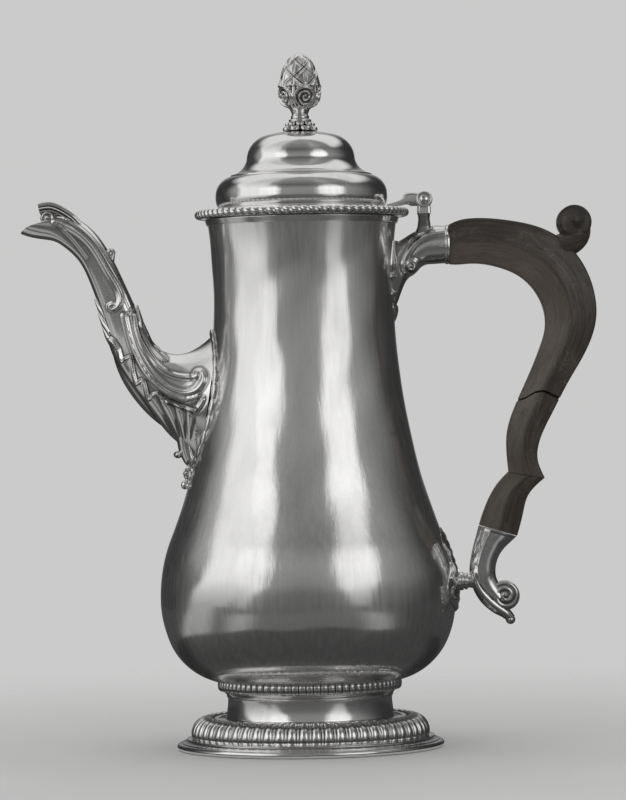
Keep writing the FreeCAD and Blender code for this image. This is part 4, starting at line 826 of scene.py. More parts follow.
class POT_OT_body(bpy.types.Operator):
    """Raised pear-shaped body with its band at the lip"""

    bl_idname = "pot.body"
    bl_label = "Body"

    def execute(self, context):
        body = Form().add(self.wall(context.scene.pot_shape.raising / MM))
        shell = body.piece("pear_body", "pot", ["body_shell"], "raised_silver", worn())
        self.pierce(shell)
        Form().turn(NECK_BAND, 0.25).in_raised("lip_band", "pot", "neck_band")
        return {"FINISHED"}

    def wall(self, raising):
        """The outline turned round the axis, its outside rippled by a few slow waves of angle and height.

        Each wave is a cosine of its turns round the pot plus its rate of height. They fade out at the bottom
        and at the lip."""
        path = np.concatenate([BODY_PATH, outline(BODY_INNER, 2.5)])
        angle, height = circle(COLUMNS), path[:, 1:]
        outside = (np.arange(len(path)) < len(BODY_PATH))[:, None]
        swing = sum(size * np.cos(turns * angle + height * rate + start)
                    for size, turns, rate, start in RAISING_WAVES)
        free = step_up(height, 40, 52) * (1 - step_up(height, 205, 222)) * outside
        return ring(path[:, :1] + raising * swing * free, height, angle)

    def pierce(self, shell):
        """Cuts the spout's hole through the body's wall: an oval rod taken out of the shell."""
        turn = circle(48)
        lean = math.radians(HOLE_LEAN)
        high = HOLE_HALF_HEIGHT * np.sin(turn)
        wide = HOLE_HALF_WIDTH * np.cos(turn)
        rod = placed(HOLE_ENDS[:, :1] + high * math.sin(lean), wide, HOLE_ENDS[:, 1:] + high * math.cos(lean))
        cutter = bpy.data.objects.new("spout hole", Form().capped(rod).mesh("spout hole", 30.0))
        bpy.context.scene.collection.objects.link(cutter)
        hole = shell.modifiers.new("hole", "BOOLEAN")
        hole.operation = "DIFFERENCE"
        hole.solver = "EXACT"
        hole.object = cutter
        graph = bpy.context.evaluated_depsgraph_get()
        whole = shell.data
        shell.data = bpy.data.meshes.new_from_object(shell.evaluated_get(graph))
        shell.modifiers.clear()
        name = whole.name
        bpy.data.meshes.remove(whole)
        shell.data.name = name
        rod_mesh = cutter.data
        bpy.data.objects.remove(cutter)
        bpy.data.meshes.remove(rod_mesh)


class POT_OT_foot(bpy.types.Operator):
    """Base rim, gadrooned shoulder, raised foot and beaded collar"""

    bl_idname = "pot.foot"
    bl_label = "Foot"

    def execute(self, context):
        shape = context.scene.pot_shape
        for name, corners, node in (
                ("base_rim", FOOT_RIM, "foot_rim"),
                ("raised_foot", FOOT_SHELL, "foot_shell"),
                ("collar_ring", FOOT_COLLAR, "foot_collar")):
            Form().turn(corners, 0.6).in_raised(name, "pot", node, soften=0.16)
        lobes = Form().add(*self.gadroon(shape.foot_lobes))
        lobes.in_cast("foot_lobes_ring", "pot", "foot_gadroon", 60.0)
        wire = Form().add(*beads(*COLLAR_WIRE, shape.collar_beads, tall=1.5, least=0.55, square=0.5))
        wire.in_cast("collar_beads", "pot", "collar_gadroon", 60.0)
        return {"FINISHED"}

    def gadroon(self, count):
        """Lobes over the foot's shoulder: an arc whose radius swells across each lobe's share of the turn.

        The swell is a flattened half circle that narrows inwards, with a thin dart between neighbours, and
        it sinks to nothing at both ends of the arc."""
        angle = circle(17 * count)
        off_middle = np.abs(2 * ((count * angle / TAU) % 1.0) - 1)
        along = np.linspace(0, 1, 30)[:, None]
        wide = 0.62 + 0.2 * (1 - along)
        lobe = np.maximum(1 - (off_middle / wide) ** 2.4, 0) ** 0.6
        dart = 0.7 * np.maximum(1 - ((1 - off_middle) / (0.8 - 0.8 * wide + 0.02)) ** 2, 0) ** 0.5
        lobe = np.maximum(lobe, dart)
        round_ends = np.sin(np.pi * np.clip(along, 0.001, 0.999)) ** 0.3
        front = self.shoulder(GADROON_REACH + GADROON_SWELL * lobe * round_ends, -12 + 104 * along, angle)
        back = self.shoulder(GADROON_BACK, np.array([[92.0], [60.0], [25.0], [-8.0]]), angle)
        grid = closed(np.concatenate([front, back]))
        # Painted shade in the darts between the lobes; none on the plain back
        dark = np.clip(1.1 - 1.6 * lobe, 0, 1)
        return grid, np.concatenate([dark, np.zeros((len(back) + 1, len(angle)))])

    def shoulder(self, reach, degrees, angle):
        """Points at a reach and an angle from the middle of the shoulder's arc, carried round the axis."""
        arch = np.radians(degrees)
        return ring(GADROON_CENTRE[0] + reach * np.cos(arch), GADROON_CENTRE[1] + reach * np.sin(arch), angle)


class POT_OT_spout(bpy.types.Operator):
    """Cast swan-neck spout with its scrolls, fluted leaf, volute and drop"""

    bl_idname = "pot.spout"
    bl_label = "Spout"

    def execute(self, context):
        form = Form().add(*self.tube(context.scene.pot_shape.spout_relief / MM))
        self.cap(form)
        for tip in LEAF_TIPS:
            form.capped(swept(*tip, 16, 16))
        self.root(form)
        form.piece("swan_spout", "pot", ["spout_near_half", "spout_far_half"], "cast_silver", cast(), 55.0)
        self.drop()
        return {"FINISHED"}

    def sections(self, where, shrink):
        """Points and outward directions of lens-shaped sections: two arcs that meet above and below.

        Along the stem the arcs give way to straight flanks that narrow towards the front."""
        knots = lengths(SPOUT[:, :2])
        x, up, lean, depth, wide = spline(knots, SPOUT, where * knots[-1]).T[..., None]
        depth, wide = depth - shrink, wide - shrink
        turn = circle(SPOUT_COLUMNS, 0.5)
        bow = (wide ** 2 + depth ** 2) / (2 * wide)
        most = np.where(depth > bow, np.pi / 2, np.arcsin(np.clip(depth / bow, -1, 1)))
        angle = most * (np.arcsin(np.sin(turn)) / (np.pi / 2))
        side = np.where(np.cos(turn) >= 0, 1.0, -1.0)
        rounded = (wide - bow + bow * np.cos(angle)) / wide
        slope = 0.9 + 0.24 * np.sin(angle) * bow / depth
        flat = rounded / (1 + (np.maximum(rounded, 0) / slope) ** 12) ** (1 / 12)
        stem = (step_up(where, 0.2, 0.34) * (1 - step_up(where, 0.86, 0.94)))[:, None]
        across = side * wide * (rounded + stem * (flat - rounded))
        rise = bow * np.sin(angle)
        lean = np.radians(lean)
        points = placed(x + rise * np.sin(lean), across, up + rise * np.cos(lean))
        outward = placed(np.sin(angle) * np.sin(lean), side * np.cos(angle), np.sin(angle) * np.cos(lean))
        return points, outward

    def tube(self, relief):
        """The outside from the body to the mouth, raised along its relief, and the bore back to the body."""
        where = np.linspace(0, 1, SPOUT_ROWS)
        points, outward = self.sections(where, 0.0)
        rise, hollow = self.chasing(points[..., [0, 2]])
        rise = rise * step_up(1 - where[:, None], 0.0, 0.06)
        outer = kept_out(self.lipped(points + outward * (rise * relief)[..., None], where))
        back = np.linspace(1, 0.2, 60)
        bore = self.lipped(self.sections(back, SPOUT_WALL)[0], back)
        entrance = bore[-1] + np.linspace(0, 1, 6)[1:, None, None] * SPOUT_ENTRANCE
        inner = kept_out(np.concatenate([bore, entrance]))
        # Painted shade: the relief's grooves, and the whole bore darkened by 0.6
        dark = np.concatenate([hollow, np.full((len(inner), SPOUT_COLUMNS), 0.6), hollow[:1] * 0])
        return closed(np.concatenate([outer, inner])), dark

    def chasing(self, view):
        """Height of the relief, and the painted shade in its recesses, at places in the view from the side.

        A scroll line is a bell of the distance from it, between two grooves. Inside its edge the leaf stands
        proud, fluted by a sine of the angle about the flutes' foot, and a ridge follows the edge."""
        rise = np.zeros(view.shape[:2])
        hollow = np.zeros(view.shape[:2])
        for line, half, height in SPOUT_LINES:
            gap = distance(view, through(line, 48))
            groove = line_rise(gap - half * 1.75, half * 0.7)
            rise = np.maximum(rise, height * line_rise(gap, half)) - 0.22 * height * groove
            hollow = np.maximum(hollow, 0.75 * groove)
        edge = distance(view, LEAF_EDGE)
        within = np.where(inside(view, np.concatenate([LEAF_EDGE, LEAF_CLOSE])), edge, -edge)
        x, up = np.moveaxis(view - FLUTE_FOOT, -1, 0)
        flute = np.abs(np.sin(np.arctan2(up, x) * FLUTE_RATE)) ** 0.8
        fade = step_up(np.hypot(x, up), 9, 17)
        rise = rise + step_up(within, -0.35, 0.3) * (0.75 + fade * (0.85 * flute - 0.6))
        rise = rise + 0.7 * line_rise(within - 0.4, 0.65)
        # Painted shade over the leaf, deeper between its flutes away from their foot, and in a line just
        # outside its edge
        between_flutes = 0.35 + fade * np.clip(0.7 - 1.3 * flute, 0, 0.65)
        hollow = np.maximum(hollow, np.where(within > 1.0, between_flutes, 0))
        return rise, np.maximum(hollow, line_rise(within + 0.8, 0.65))

    def lipped(self, points, where):
        """The mouth's sides raised above the line from its beak to the volute, most at its widest."""
        lift = 1.7 * np.abs(np.cos(circle(SPOUT_COLUMNS, 0.5))) * step_up(where[:, None], 0.9, 1.0)
        return points + lift[..., None] * np.array([-0.33, 0.0, 0.944])

    def cap(self, form):
        """Leaf over the mouth and the volute it springs from: an oval sweep ribbed by a cosine round it."""
        rows, columns, ribs = 60, 80, 10
        grid = swept(*SPOUT_CAP, rows, columns)
        wave = np.cos(ribs * circle(columns))
        middle = grid.mean(axis=1, keepdims=True)
        fade = step_up(np.linspace(1, 0, rows), 0.0, 0.3)[:, None]
        grid = middle + (grid - middle) * (1 + 0.15 * fade * wave)[..., None]
        # Painted shade between the ribs, fading out towards the leaf's tip
        form.capped(grid, np.clip(-wave, 0, 1) * fade)
        form.add(*scroll(*SPOUT_VOLUTE))

    def root(self, form):
        """Tongue with its knob under the leaf, and the scalloped border where the spout meets the body.

        The border is a flat tube along an oval on the body, whose thickness swells in uneven scallops."""
        form.capped(kept_out(swept(*SPOUT_TONGUE, 40, 36)))
        form.add(ball(*TONGUE_KNOB))
        turn = circle(360)
        side = ROOT_HALF_WIDTH * squared(turn, 0.9)[0]
        up = ROOT_HEIGHT + ROOT_HALF_HEIGHT * np.sin(turn) * math.cos(math.radians(ROOT_LEAN))
        reach = body_radius(up)
        middle = placed(-np.sqrt(reach ** 2 - side ** 2), side, up)
        along = np.roll(middle, -1, axis=0) - np.roll(middle, 1, axis=0)
        along /= np.linalg.norm(along, axis=1)[:, None]
        away = placed(middle[:, 0] / reach, middle[:, 1] / reach, 0.0)
        beside = np.cross(along, away)
        scallop = np.abs(np.sin(turn * 11.0 + 0.9 * np.sin(2 * turn))) ** 0.8
        swell = (0.62 + 0.34 * scallop + 0.1 * np.sin(turn * 5.0))[:, None]
        section = circle(10)[:, None, None]
        tube = (middle + 0.35 * away + swell * np.cos(section) * away
                + 2.1 * swell * np.sin(section) * beside)
        # Painted shade where the scallops narrow
        dark = np.broadcast_to(np.clip(1.2 - 1.6 * swell[:, 0], 0, 1), tube.shape[:2])
        form.add(closed(tube), closed(dark))

    def drop(self):
        """Two beads that hang under the spout, the upper one scrolled."""
        form = Form()
        for bead in DROP_BEADS:
            form.add(ball(*bead))
        form.add(ball(*DROP_LINK, 10, 16))
        form.add(*scroll(*DROP_VOLUTE, 40, 14))
        form.in_cast("spout_beads", "pot", "spout_drop", 60.0)


class POT_OT_lid(bpy.types.Operator):
    """Domed lid with its beaded edge and bezel"""

    bl_idname = "pot.lid"
    bl_label = "Lid"

    def execute(self, context):
        Form().turn(LID_SHELL, 0.5).in_raised("domed_lid", "lid", "lid_dome", 30.0, 0.12)
        wire = Form().add(*beads(*LID_WIRE, context.scene.pot_shape.lid_beads, lean=0.22))
        wire.in_cast("lid_edge_beads", "lid", "lid_gadroon", 60.0)
        Form().turn(LID_BEZEL, 1.0, 128).in_raised("inner_bezel", "lid", "lid_bezel", soften=0.12)
        return {"FINISHED"}


class POT_OT_finial(bpy.types.Operator):
    """Bud finial on its petalled rosette, with the stud and nut that hold it"""

    bl_idname = "pot.finial"
    bl_label = "Finial"

    def execute(self, context):
        rosette = Form()
        for phase, whorl in zip((0.0, 0.5), WHORLS):
            rosette.add(*self.petals(whorl, phase))
        rosette.turn(FINIAL_NECK, 0.25, 64).in_cast("rosette", "lid", "finial_rosette", 50.0)
        bud = Form().add(*self.bud(context.scene.pot_shape.bud_relief / MM))
        bud.in_cast("bud", "lid", "finial_bud", 70.0)
        dress(cast(), "finial_stud", "finial_nut")
        return {"FINISHED"}

    def petals(self, whorl, phase):
        """Whorl of petals: a turned path whose radius dips towards the axis between petals."""
        path = through(whorl, 26)
        angle = circle(14 * PETALS)
        off_middle = np.abs(2 * ((PETALS * angle / TAU + phase) % 1.0) - 1)
        lobe = np.maximum(1 - off_middle ** 2, 0) ** 0.5
        reach = step_up(path[:, :1], 2.5, 6.0)
        radius = path[:, :1] * (1 - 0.34 * reach * (1 - lobe))
        height = path[:, 1:] + 0.35 * reach * (off_middle ** 2 - 0.4)
        # The second grid is painted shade between the petals, more towards their outer ends
        return ring(radius, height, angle), reach * (1 - lobe)

    def bud(self, relief):
        """Bud: a turned path that carries scales above, scrolled medallions below and a wire between them."""
        path = through(BUD, 230)
        path[-1, 0] = 0.0
        path[:, 0] = np.maximum(path[:, 0], 0.0)
        up = path[:, 1:]
        angle = circle(250) - np.pi / 2 + 0.35
        turn = MEDALLIONS * angle / TAU
        above = step_up(up, 285.0, 286.4) * (1 - step_up(up, 297.5, 299.6))
        below = step_up(up, 275.6, 277.2) * (1 - step_up(up, 285.0, 286.2))
        wire = np.exp(-((up - 285.6) / 0.45) ** 2)
        shape = above * self.scales(turn, up) + below * self.medallions(turn, up) + wire * 0.6
        radius = path[:, :1] + relief * (shape - 0.45) * np.minimum(1, path[:, :1] / 3)
        # Painted shade in the cuts of the scales and in the grooves of the medallions
        hollow = np.clip(1.15 - 1.6 * shape, 0, 1) * np.maximum(above, below)
        return ring(radius, up, angle), hollow

    def scales(self, turn, up):
        """Height of the scales: cut by double lines of angle plus and minus height, with upright veins."""
        level = np.interp(up, [285.2, 289.5, 293.5, 297.0, 300.0], [0.0, 0.5, 1.0, 1.5, 2.0])
        vein = np.abs((turn * 2) % 1.0 - 0.5)
        sunk = 0.4 * np.exp(-((0.5 - vein) / 0.06) ** 2)
        for lean in (1.0, -1.0):
            cross = np.abs((turn + lean * level + 0.5) % 1.0 - 0.5)
            for offset, depth in ((0.0, 1.0), (0.13, 0.5)):
                sunk = np.maximum(sunk, depth * np.exp(-((cross - offset) / 0.032) ** 2))
        return 1.0 - sunk

    def medallions(self, turn, up):
        """Height of the medallions: rings that wind out from each middle, a rim, and leaves between rims."""
        wide = ((turn + 0.5) % 1.0 - 0.5) * TAU * 8.6 / MEDALLIONS
        high = (up - 280.6) * 1.05
        gap = np.hypot(wide, high)
        rings = (0.5 + 0.5 * np.cos(TAU * gap / 1.9 - np.arctan2(high, wide))) * step_up(4.6 - gap, 0, 0.6)
        rim = np.exp(-((gap - 4.75) / 0.45) ** 2)
        leaf = 0.5 * (0.5 + 0.5 * np.cos(wide * 3.6)) * step_up(gap, 4.9, 5.4)
        return np.maximum(np.maximum(rings, rim), leaf)


class POT_OT_hinge(bpy.types.Operator):
    """Hinge of the lid: post, leaf and headed pin"""

    bl_idname = "pot.hinge"
    bl_label = "Hinge"

    def execute(self, context):
        # The whole post is darkened evenly towards the near-black of the recesses
        post = Form().capped(swept(*HINGE_POST, 30, 40, 0.6), 0.62)
        cheek = swept(*HINGE_CHEEK, 12, 32, 0.4)
        for side in (-1.0, 1.0):
            post.capped(cheek + np.array([0.0, side * CHEEK_ASIDE, 0.0]))
            post.add(self.knuckle(side * FORK_KNUCKLE, side * HINGE_HALF))
        post.in_cast("hinge_fork", "pot", "hinge_post", 40.0)
        strap = Form().capped(swept(*LID_STRAP, 60, 40, 0.5))
        strap.add(self.knuckle(-STRAP_KNUCKLE, STRAP_KNUCKLE))
        strap.in_cast("lid_strap", "lid", "lid_hinge_leaf", 40.0)
        Form().add(self.about(outline(HINGE_PIN, 0.3))).in_cast("headed_pin", "pot", "hinge_pin", 40.0)
        return {"FINISHED"}

    def about(self, path):
        """A path of (radius, distance across the pot) carried round the hinge's line."""
        angle = circle(48)
        radius, across = path[:, :1], path[:, 1:]
        return placed(HINGE_OUT + radius * np.cos(angle), across, HINGE_UP + radius * np.sin(angle))

    def knuckle(self, start, end):
        """Barrel bored for the pin from start to end across the pot, with a rounded ring at its end."""
        way = math.copysign(1.0, end - start)
        turn = np.linspace(0, np.pi, 12)
        bead = np.stack([3.0 + 0.58 * np.cos(turn), end + way * (0.62 * np.sin(turn) - 0.3)], axis=1)
        foot = [(1.36, start), (3.2, start), (3.58, start + way * 0.4)]
        bored = [(2.42, end - way * 0.9), (1.36, end - way * 0.9)]
        return self.about(closed(np.concatenate([foot, bead, bored])))


class POT_OT_sockets(bpy.types.Operator):
    """Handle sockets with their scrolls, plates, strut and pins"""

    bl_idname = "pot.sockets"
    bl_label = "Handle sockets"

    def execute(self, context):
        self.upper()
        Form().capped(*applied(NECK_DROP, 120)).in_cast("neck_drop", "pot", "upper_drop_plate", 50.0)
        self.lower()
        self.strut()
        Form().capped(*applied(CARTOUCHE, 140, 81, 0.3)).in_cast("cartouche", "pot", "lower_plate", 50.0)
        dress(cast(), "upper_peg", "lower_peg")
        return {"FINISHED"}

    def upper(self):
        """Upright oval slices from the body to the mouth, with a raised band and a volute on each side.

        The band is a bell of the distance from its line, beside a groove, and a lip rounds the mouth."""
        where = np.linspace(UPPER_SOCKET[0, 0], UPPER_SOCKET[-1, 0], 110)
        top, bottom, wide = spline(UPPER_SOCKET[:, 0], UPPER_SOCKET[:, 1:], where).T[..., None]
        side, rise = squared(circle(112), 0.92)
        points = placed(where[:, None], wide * side, (top + bottom) / 2 + (top - bottom) / 2 * rise)
        gap = distance(points[..., [0, 2]], through(UPPER_SCROLL, 90))
        lip = (step_up(where, 61.4, 62.2) * (1 - 0.6 * step_up(where, 62.8, 63.4)))[:, None]
        band = line_rise(gap, 0.95) * np.abs(side) ** 0.5
        groove = line_rise(gap - 1.7, 0.7) * np.abs(side)
        relief = 0.9 * band + 0.45 * lip - 0.25 * groove
        points = kept_out(points + placed(0.0, side, rise) * relief[..., None])
        # Painted shadow on the socket near the body, away from its band, and painted shade in the groove
        shadow = 0.62 * step_up(52.0 - points[..., 0], 0, 8) * step_up(gap, 1.2, 2.4)
        form = Form().capped(points, np.maximum(0.8 * groove, shadow))
        form.add(*scroll(*UPPER_VOLUTE))
        form.in_cast("arm_socket", "pot", "upper_socket", 55.0)

    def lower(self):
        """Oval slices between the two edges of the cup, with a ridge and a lip, a volute and a leaf tail."""
        knots = lengths((LOWER_SOCKET[:, :2] + LOWER_SOCKET[:, 2:4]) / 2)
        along = np.linspace(0, 1, 90)
        slices = spline(knots, LOWER_SOCKET, along * knots[-1])
        inner, outer, wide = slices[:, :2], slices[:, 2:4], slices[:, 4:]
        middle, reach = (inner + outer) / 2, (outer - inner) / 2
        rise, side = squared(circle(96), 0.9)
        along = along[:, None]
        ridge = 0.35 * line_rise(rise + 0.35, 0.16) * step_up(1 - along, 0, 0.2)
        lip = 0.35 * step_up(0.035 - along, 0, 0.015)
        form = Form().capped(placed(middle[:, :1] + reach[:, :1] * rise, (wide + ridge + lip) * side,
                                    middle[:, 1:] + reach[:, 1:] * rise))
        form.add(*scroll(*LOWER_VOLUTE))
        form.capped(swept(*SOCKET_TAIL, 60, 40))
        form.add(ball(*TAIL_KNOB))
        form.in_cast("scroll_socket", "pot", "lower_socket", 55.0)

    def strut(self):
        """Knopped strut: its outline carried round a level line from the belly to the lower socket."""
        path = outline(STRUT, 0.25)
        angle = circle(48)
        x, radius = path[:, :1], path[:, 1:]
        grid = placed(x, radius * np.cos(angle), STRUT_HEIGHT + radius * np.sin(angle))
        Form().capped(grid).in_cast("knop_strut", "pot", "lower_strut", 50.0)


class POT_OT_handle(bpy.types.Operator):
    """Wooden double-scroll handle in its two lengths"""

    bl_idname = "pot.handle"
    bl_label = "Handle"

    def execute(self, context):
        end = lengths(HANDLE_ARM[:, :2])[-1]
        shift = np.interp(self.section()[1], JOINT_SHARE, JOINT_SHIFT)
        joint = self.joint() - shift
        arm = Form()
        self.length(arm, HANDLE_ARM, np.linspace(0, 1, 170)[:, None] * (joint - JOINT_GAP / 2))
        self.thumb(arm)
        arm.piece("handle_arm", "pot", ["handle_upper_wood"], "dark_wood", dark_wood(), 50.0)
        tail = Form()
        start = joint + JOINT_GAP / 2
        self.length(tail, HANDLE_ARM, start + np.linspace(0, 1, 90)[:, None] * (end - start))
        self.length(tail, HANDLE_TAIL, np.linspace(0, 1, 70)[:, None] * lengths(HANDLE_TAIL[:, :2])[-1])
        # A core fills the joint's gap, painted near black as its shadow
        core = joint + np.linspace(-0.45, 0.9, 8)[:, None] * JOINT_GAP
        self.length(tail, HANDLE_ARM, core, JOINT_CORE, 1.0)
        tail.piece("handle_tail", "pot", ["handle_lower_wood"], "dark_wood", dark_wood(), 50.0)
        dress(dark_wood(), "handle_dowel")
        return {"FINISHED"}

    def joint(self):
        """Distance along the handle to the height of its joint, on the stretch that falls steadily."""
        falling = HANDLE_ARM[2:, 1]
        return np.interp(-JOINT_HEIGHT, -falling, lengths(HANDLE_ARM[:, :2])[2:])

    def thumb(self, form):
        """Thumb piece swept up from the arm's back to a volute, with its grain lying level."""
        stem = swept(*THUMB, 60, 56)
        knob, dark = scroll(*THUMB_VOLUTE)
        grain_from = np.array([0.0, -198.0, 0.0])
        form.capped(stem, run=stem[..., [0, 2, 1]] + grain_from)
        # Painted shade in the volute's grooves
        form.add(knob, hollow=0.5 * dark, run=knob[..., [0, 2, 1]] + grain_from)

    def section(self):
        """Soft six-sided section: a hexagon with a ridge down each side, its corners rounded by averaging."""
        corners = [(1.0, 0.0), (0.56, 1.0), (-0.56, 1.0), (-1.0, 0.0), (-0.56, -1.0), (0.56, -1.0)]
        line = closed(np.array(corners))
        far = lengths(line)
        fine = np.linspace(0, far[-1], 1201)[:-1]
        points = np.stack([np.interp(fine, far, part) for part in line.T], axis=1)
        offsets = np.arange(-60, 61)
        weights = np.exp(-(offsets / 9.0) ** 2)
        weights /= weights.sum()
        soft = sum(weight * np.roll(points, offset, axis=0) for weight, offset in zip(weights, offsets))
        return (soft / np.abs(soft).max(axis=0))[::10].T

    def length(self, form, stations, where, share=(1.0, 1.0), hollow=0.0):
        """Sections, or shares of their width and depth, carried along the handle.

        Each column of the section lies at its own distances along the handle, so that a length can begin or
        end on a curved line."""
        across, deep = np.array(share)[:, None] * self.section()
        where = np.broadcast_to(where, (len(where), len(across)))
        x, up, lean, depth = np.moveaxis(spline(lengths(stations[:, :2]), stations, where), -1, 0)
        lean = np.radians(lean)
        aside = (HANDLE_HALF_WIDTH - HANDLE_NARROW * np.exp(-where / 3.0)) * across
        rise = depth * deep
        form.capped(placed(x + rise * np.sin(lean), aside, up + rise * np.cos(lean)),
                    run=placed(where, rise, aside), hollow=hollow)


class POT_OT_stage(bpy.types.Operator):
    """Floor, studio light and camera"""

    bl_idname = "pot.stage"
    bl_label = "Stage"

    def execute(self, context):
        look = context.scene.pot_stage
        self.floor(opaque(look.floor))
        glow = self.glowing()
        self.room(glow, look.window)
        self.cloth(glow)
        self.world(context.scene, opaque(look.backdrop))
        self.lamp("key", KEY_AT, look.key)
        self.lamp("fill", FILL_AT, look.fill)
        self.camera(context.scene, look.lens)
        context.scene.view_settings.view_transform = "Standard"
        return {"FINISHED"}

    def put(self, name, grid, material, around=False):
        """A stage surface from a grid in metres."""
        form = Form().add(grid / MM, around=around)
        made = bpy.data.meshes.new(name)
        made.from_pydata(np.concatenate(form.points) * MM, [], np.concatenate(form.faces).tolist())
        made.shade_smooth()
        made.materials.append(material)
        item = bpy.data.objects.new(name, made)
        bpy.context.scene.collection.objects.link(item)
        return item

    def surround(self, name, grid, material, light, around=False):
        """A stage surface that keeps its brightness at each point and shows in the silver only."""
        item = self.put(name, grid, material, around)
        mark = item.data.attributes.new("glow", "FLOAT", "POINT")
        mark.data.foreach_set("value", np.broadcast_to(light, grid.shape[:2]).astype(np.float32).ravel())
        for ray in ("camera", "diffuse", "shadow", "transmission"):
            setattr(item, "visible_" + ray, False)

    def floor(self, colour):
        """Pale disc that thins out to the background with distance, so that no horizon shows."""
        made = Finish(bpy.data.materials.new("pale floor"))
        here = made.node("ShaderNodeTexCoord", output="Object")
        reach = made.node("ShaderNodeVectorMath", {"operation": "LENGTH"}, {0: here}, output="Value")
        tone = made.noise(made.place((14.0, 14.0, 14.0)), 3.0)
        shade = made.mix(tone, colour, opaque(colour, 0.96))
        solid = made.node("ShaderNodeBsdfPrincipled", {}, {"Base Color": shade, "Roughness": 0.85})
        clear = made.node("ShaderNodeBsdfTransparent")
        mixed = made.node("ShaderNodeMixShader", {}, {0: made.band(reach, 0.16, 0.56), 1: solid, 2: clear})
        made.node("ShaderNodeOutputMaterial", {}, {"Surface": mixed})
        far = np.linspace(0.0, 0.6, 24)[:, None]
        self.put("floor", ring(far, 0.0, circle(96)), made.owner, around=True)

    def glowing(self):
        """Surface that shines with the brightness kept in its mesh."""
        made = Finish(bpy.data.materials.new("studio surround"))
        shine = made.node("ShaderNodeEmission", {}, {"Color": made.mark("glow"), "Strength": 1.0})
        made.node("ShaderNodeOutputMaterial", {}, {"Surface": shine})
        made.owner.cycles.emission_sampling = "NONE"
        return made.owner

    def room(self, material, window):
        """Dim room round the pot: a part of a sphere whose brightness follows bearing and height angle.

        East is the bearing in degrees from the camera's side round to the right. Smooth steps of it give a
        tall window at the left, two lamps, faint walls in front and at the sides, a soft glow at the back,
        and bright upper walls at the sides and back under a dim ceiling. A list holds a brightness or an
        edge at each of the levels, which are height angles in degrees."""
        levels = [-12, -6, 2, 8, 20, 28, 44, 58]
        east = np.linspace(-180, 180, 361)
        up = np.linspace(-12, 89, 102)[:, None]

        def at(values):
            """Values at the levels, spread over the heights."""
            return np.interp(up, levels, values)

        def pane(start, end):
            """1 between two edges that shift with height."""
            return step_up(east, at(start) - 8, at(start) + 8) * (1 - step_up(east, at(end) - 7, at(end) + 7))

        tall = at([0.2, 0.36, 0.64, 0.9, 0.96, 0.96, 0.74, 0.56]) * pane(
            [-104, -104, -100, -92, -92, -96, -116, -118], [-74, -62, -48, -42, -42, -42, -46, -50])
        lamps = at([0.0, 0.3, 0.6, 1.0, 1.15, 1.15, 0.3, 0.0]) * (
            pane([-58, -58, -60, -62, -62, -62, -58, -58], [-46, -46, -40, -30, -27, -30, -36, -36])
            + pane([32, 32, 28, 22, 20, 22, 30, 30], [48, 48, 52, 58, 60, 60, 52, 52]))
        front = at([0.07, 0.07, 0.09, 0.19, 0.24, 0.2, 0.06, 0.16]) * between(east, -52, 44, 18)
        left = step_up(east, -126, -94) * (1 - step_up(east, -60, -30)) * (0.25 + 0.75 * step_up(up, 4, 18))
        right = step_up(east, 15, 40) * (1 - step_up(east, 62, 122))
        right = at([0.0, 0.03, 0.08, 0.22, 0.24, 0.2, 0.12, 0.2]) * right
        back = step_up(np.abs(east), 154, 180) * step_up(up, -12, 4)
        light = 0.03 + front + 0.3 * left + right + 0.34 * back
        upper_walls = step_up(np.abs(east), 66, 96) * step_up(up, 36, 50)
        ceiling = step_up(up, 56, 70)
        for part in (window * tall, window * lamps, 0.76 * upper_walls, 0.26 * ceiling):
            light = np.maximum(light, part)
        bearing, height = np.radians(east), np.radians(up)
        level = ROOM_REACH * np.cos(height)
        rise = ROOM_MIDDLE + ROOM_REACH * np.sin(height)
        grid = placed(level * np.sin(bearing), -level * np.cos(bearing), rise)
        self.surround("studio room", grid, material, light)

    def cloth(self, material):
        """Sheet round the foot, seen in the silver: dark near the foot and, farther out, painted with the
        window's light at the left, a faint lift in front and glints of the lamps.

        Its brightness is made of smooth steps of bearing, as in the room, and of distance from the pot."""
        angle = circle(96)
        far = np.geomspace(CLOTH_START, ROOM_REACH, 90)[:, None]
        east = (np.degrees(angle) + 270.0) % 360.0 - 180.0
        distant = step_up(far, 0.3, 0.5)
        glint = 0.22 * between(east, -58, -40, 8) + 0.2 * between(east, 40, 58, 8)
        beyond = 0.05 + 0.32 * between(east, -104, -74, 7)
        beyond = beyond + 0.08 * between(east, -72, 64, 18) * (1 - 0.4 * distant) + glint * (1 - distant)
        near = 0.05 - 0.03 * step_up(np.abs(east), 94, 112)
        light = near + (beyond - near) * step_up(far, 0.155, 0.175)
        self.surround("dark cloth", ring(far, CLOTH_HEIGHT, angle), material, light, around=True)

    def world(self, scene, colour):
        """Pale background to the camera and in reflections, and a plain even light on everything else."""
        scene.world = bpy.data.worlds.new("studio")
        made = Finish(scene.world)
        seen, glossy, passed = [made.node("ShaderNodeLightPath", output=kind) for kind in (
            "Is Camera Ray", "Is Glossy Ray", "Is Transmission Ray")]
        shown = seen.maths("MAXIMUM", seen.maths("MAXIMUM", seen, glossy), passed)
        shade = made.mix(shown, (0.92, 0.92, 0.92, 1.0), colour)
        shine = made.node("ShaderNodeBackground", {}, {"Color": shade, "Strength": 1.0})
        made.node("ShaderNodeOutputWorld", {}, {"Surface": shine})

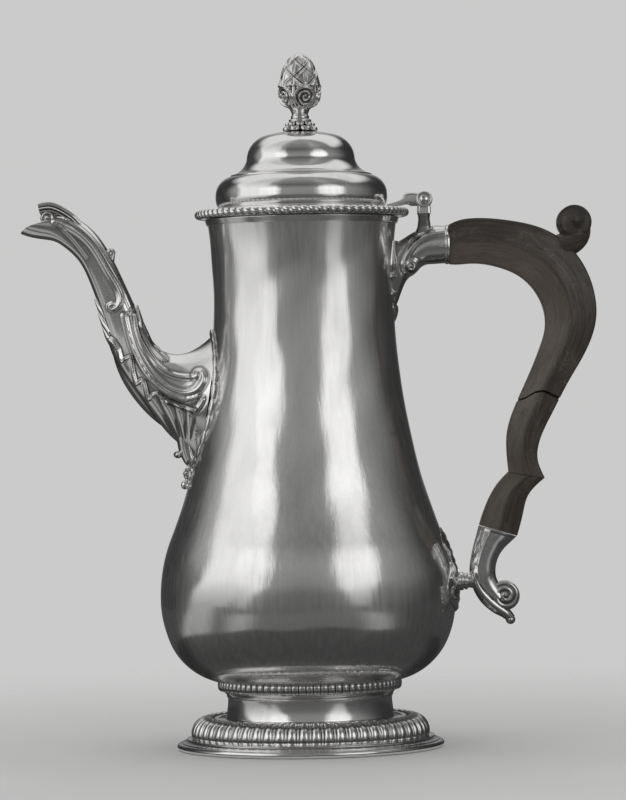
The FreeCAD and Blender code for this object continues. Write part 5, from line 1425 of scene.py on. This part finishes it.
    def lamp(self, name, place, power):
        """Soft lamp that faces the pot, for the wood and the floor. The silver doesn't show it."""
        light = bpy.data.lights.new(name, "AREA")
        light.size = 0.9
        light.energy = power
        item = bpy.data.objects.new(name, light)
        bpy.context.scene.collection.objects.link(item)
        item.location = place
        aim = np.array(LAMPS_FACE) - np.array(place)
        item.rotation_euler = (
            math.acos(aim[2] / np.linalg.norm(aim)) + math.pi, 0.0, math.atan2(aim[1], aim[0]) - math.pi / 2)
        item.visible_glossy = False

    def camera(self, scene, lens):
        """Level camera in front of the pot, rolled by a degree as the photograph is."""
        eye = bpy.data.cameras.new("camera")
        eye.sensor_fit = "VERTICAL"
        eye.sensor_height = 36.0
        eye.lens = lens
        item = bpy.data.objects.new("camera", eye)
        scene.collection.objects.link(item)
        item.location = CAMERA_AT
        item.rotation_euler = (math.radians(90.0), math.radians(CAMERA_ROLL), 0.0)
        scene.camera = item


OPERATORS = (
    POT_OT_body, POT_OT_foot, POT_OT_spout, POT_OT_lid, POT_OT_finial, POT_OT_hinge, POT_OT_sockets,
    POT_OT_handle, POT_OT_stage)


class POT_PT_panel(bpy.types.Panel):
    """Lists the pot's pieces and their settings"""

    bl_idname = "POT_PT_panel"
    bl_label = "Coffee Pot"
    bl_space_type = "VIEW_3D"
    bl_region_type = "UI"
    bl_category = "Coffee Pot"

    def draw(self, context):
        for group in (context.scene.pot_shape, context.scene.pot_look, context.scene.pot_stage):
            for name in group.__annotations__:
                self.layout.prop(group, name)
        for operator in OPERATORS:
            self.layout.operator(operator.bl_idname)


GROUPS = {"pot_shape": PotShape, "pot_look": PotLook, "pot_stage": PotStage}


def register():
    for name, group in GROUPS.items():
        bpy.utils.register_class(group)
        setattr(bpy.types.Scene, name, bpy.props.PointerProperty(type=group))
    for item in OPERATORS + (POT_PT_panel,):
        bpy.utils.register_class(item)


def unregister():
    for item in (POT_PT_panel,) + OPERATORS[::-1]:
        bpy.utils.unregister_class(item)
    for name, group in GROUPS.items():
        delattr(bpy.types.Scene, name)
        bpy.utils.unregister_class(group)


def main():
    """Makes every piece in order."""
    register()
    pot = bpy.ops.pot
    for make in (
            pot.body, pot.foot, pot.spout, pot.lid, pot.finial, pot.hinge, pot.sockets,
            pot.handle, pot.stage):
        make()


if __name__ == "__main__":
    main()
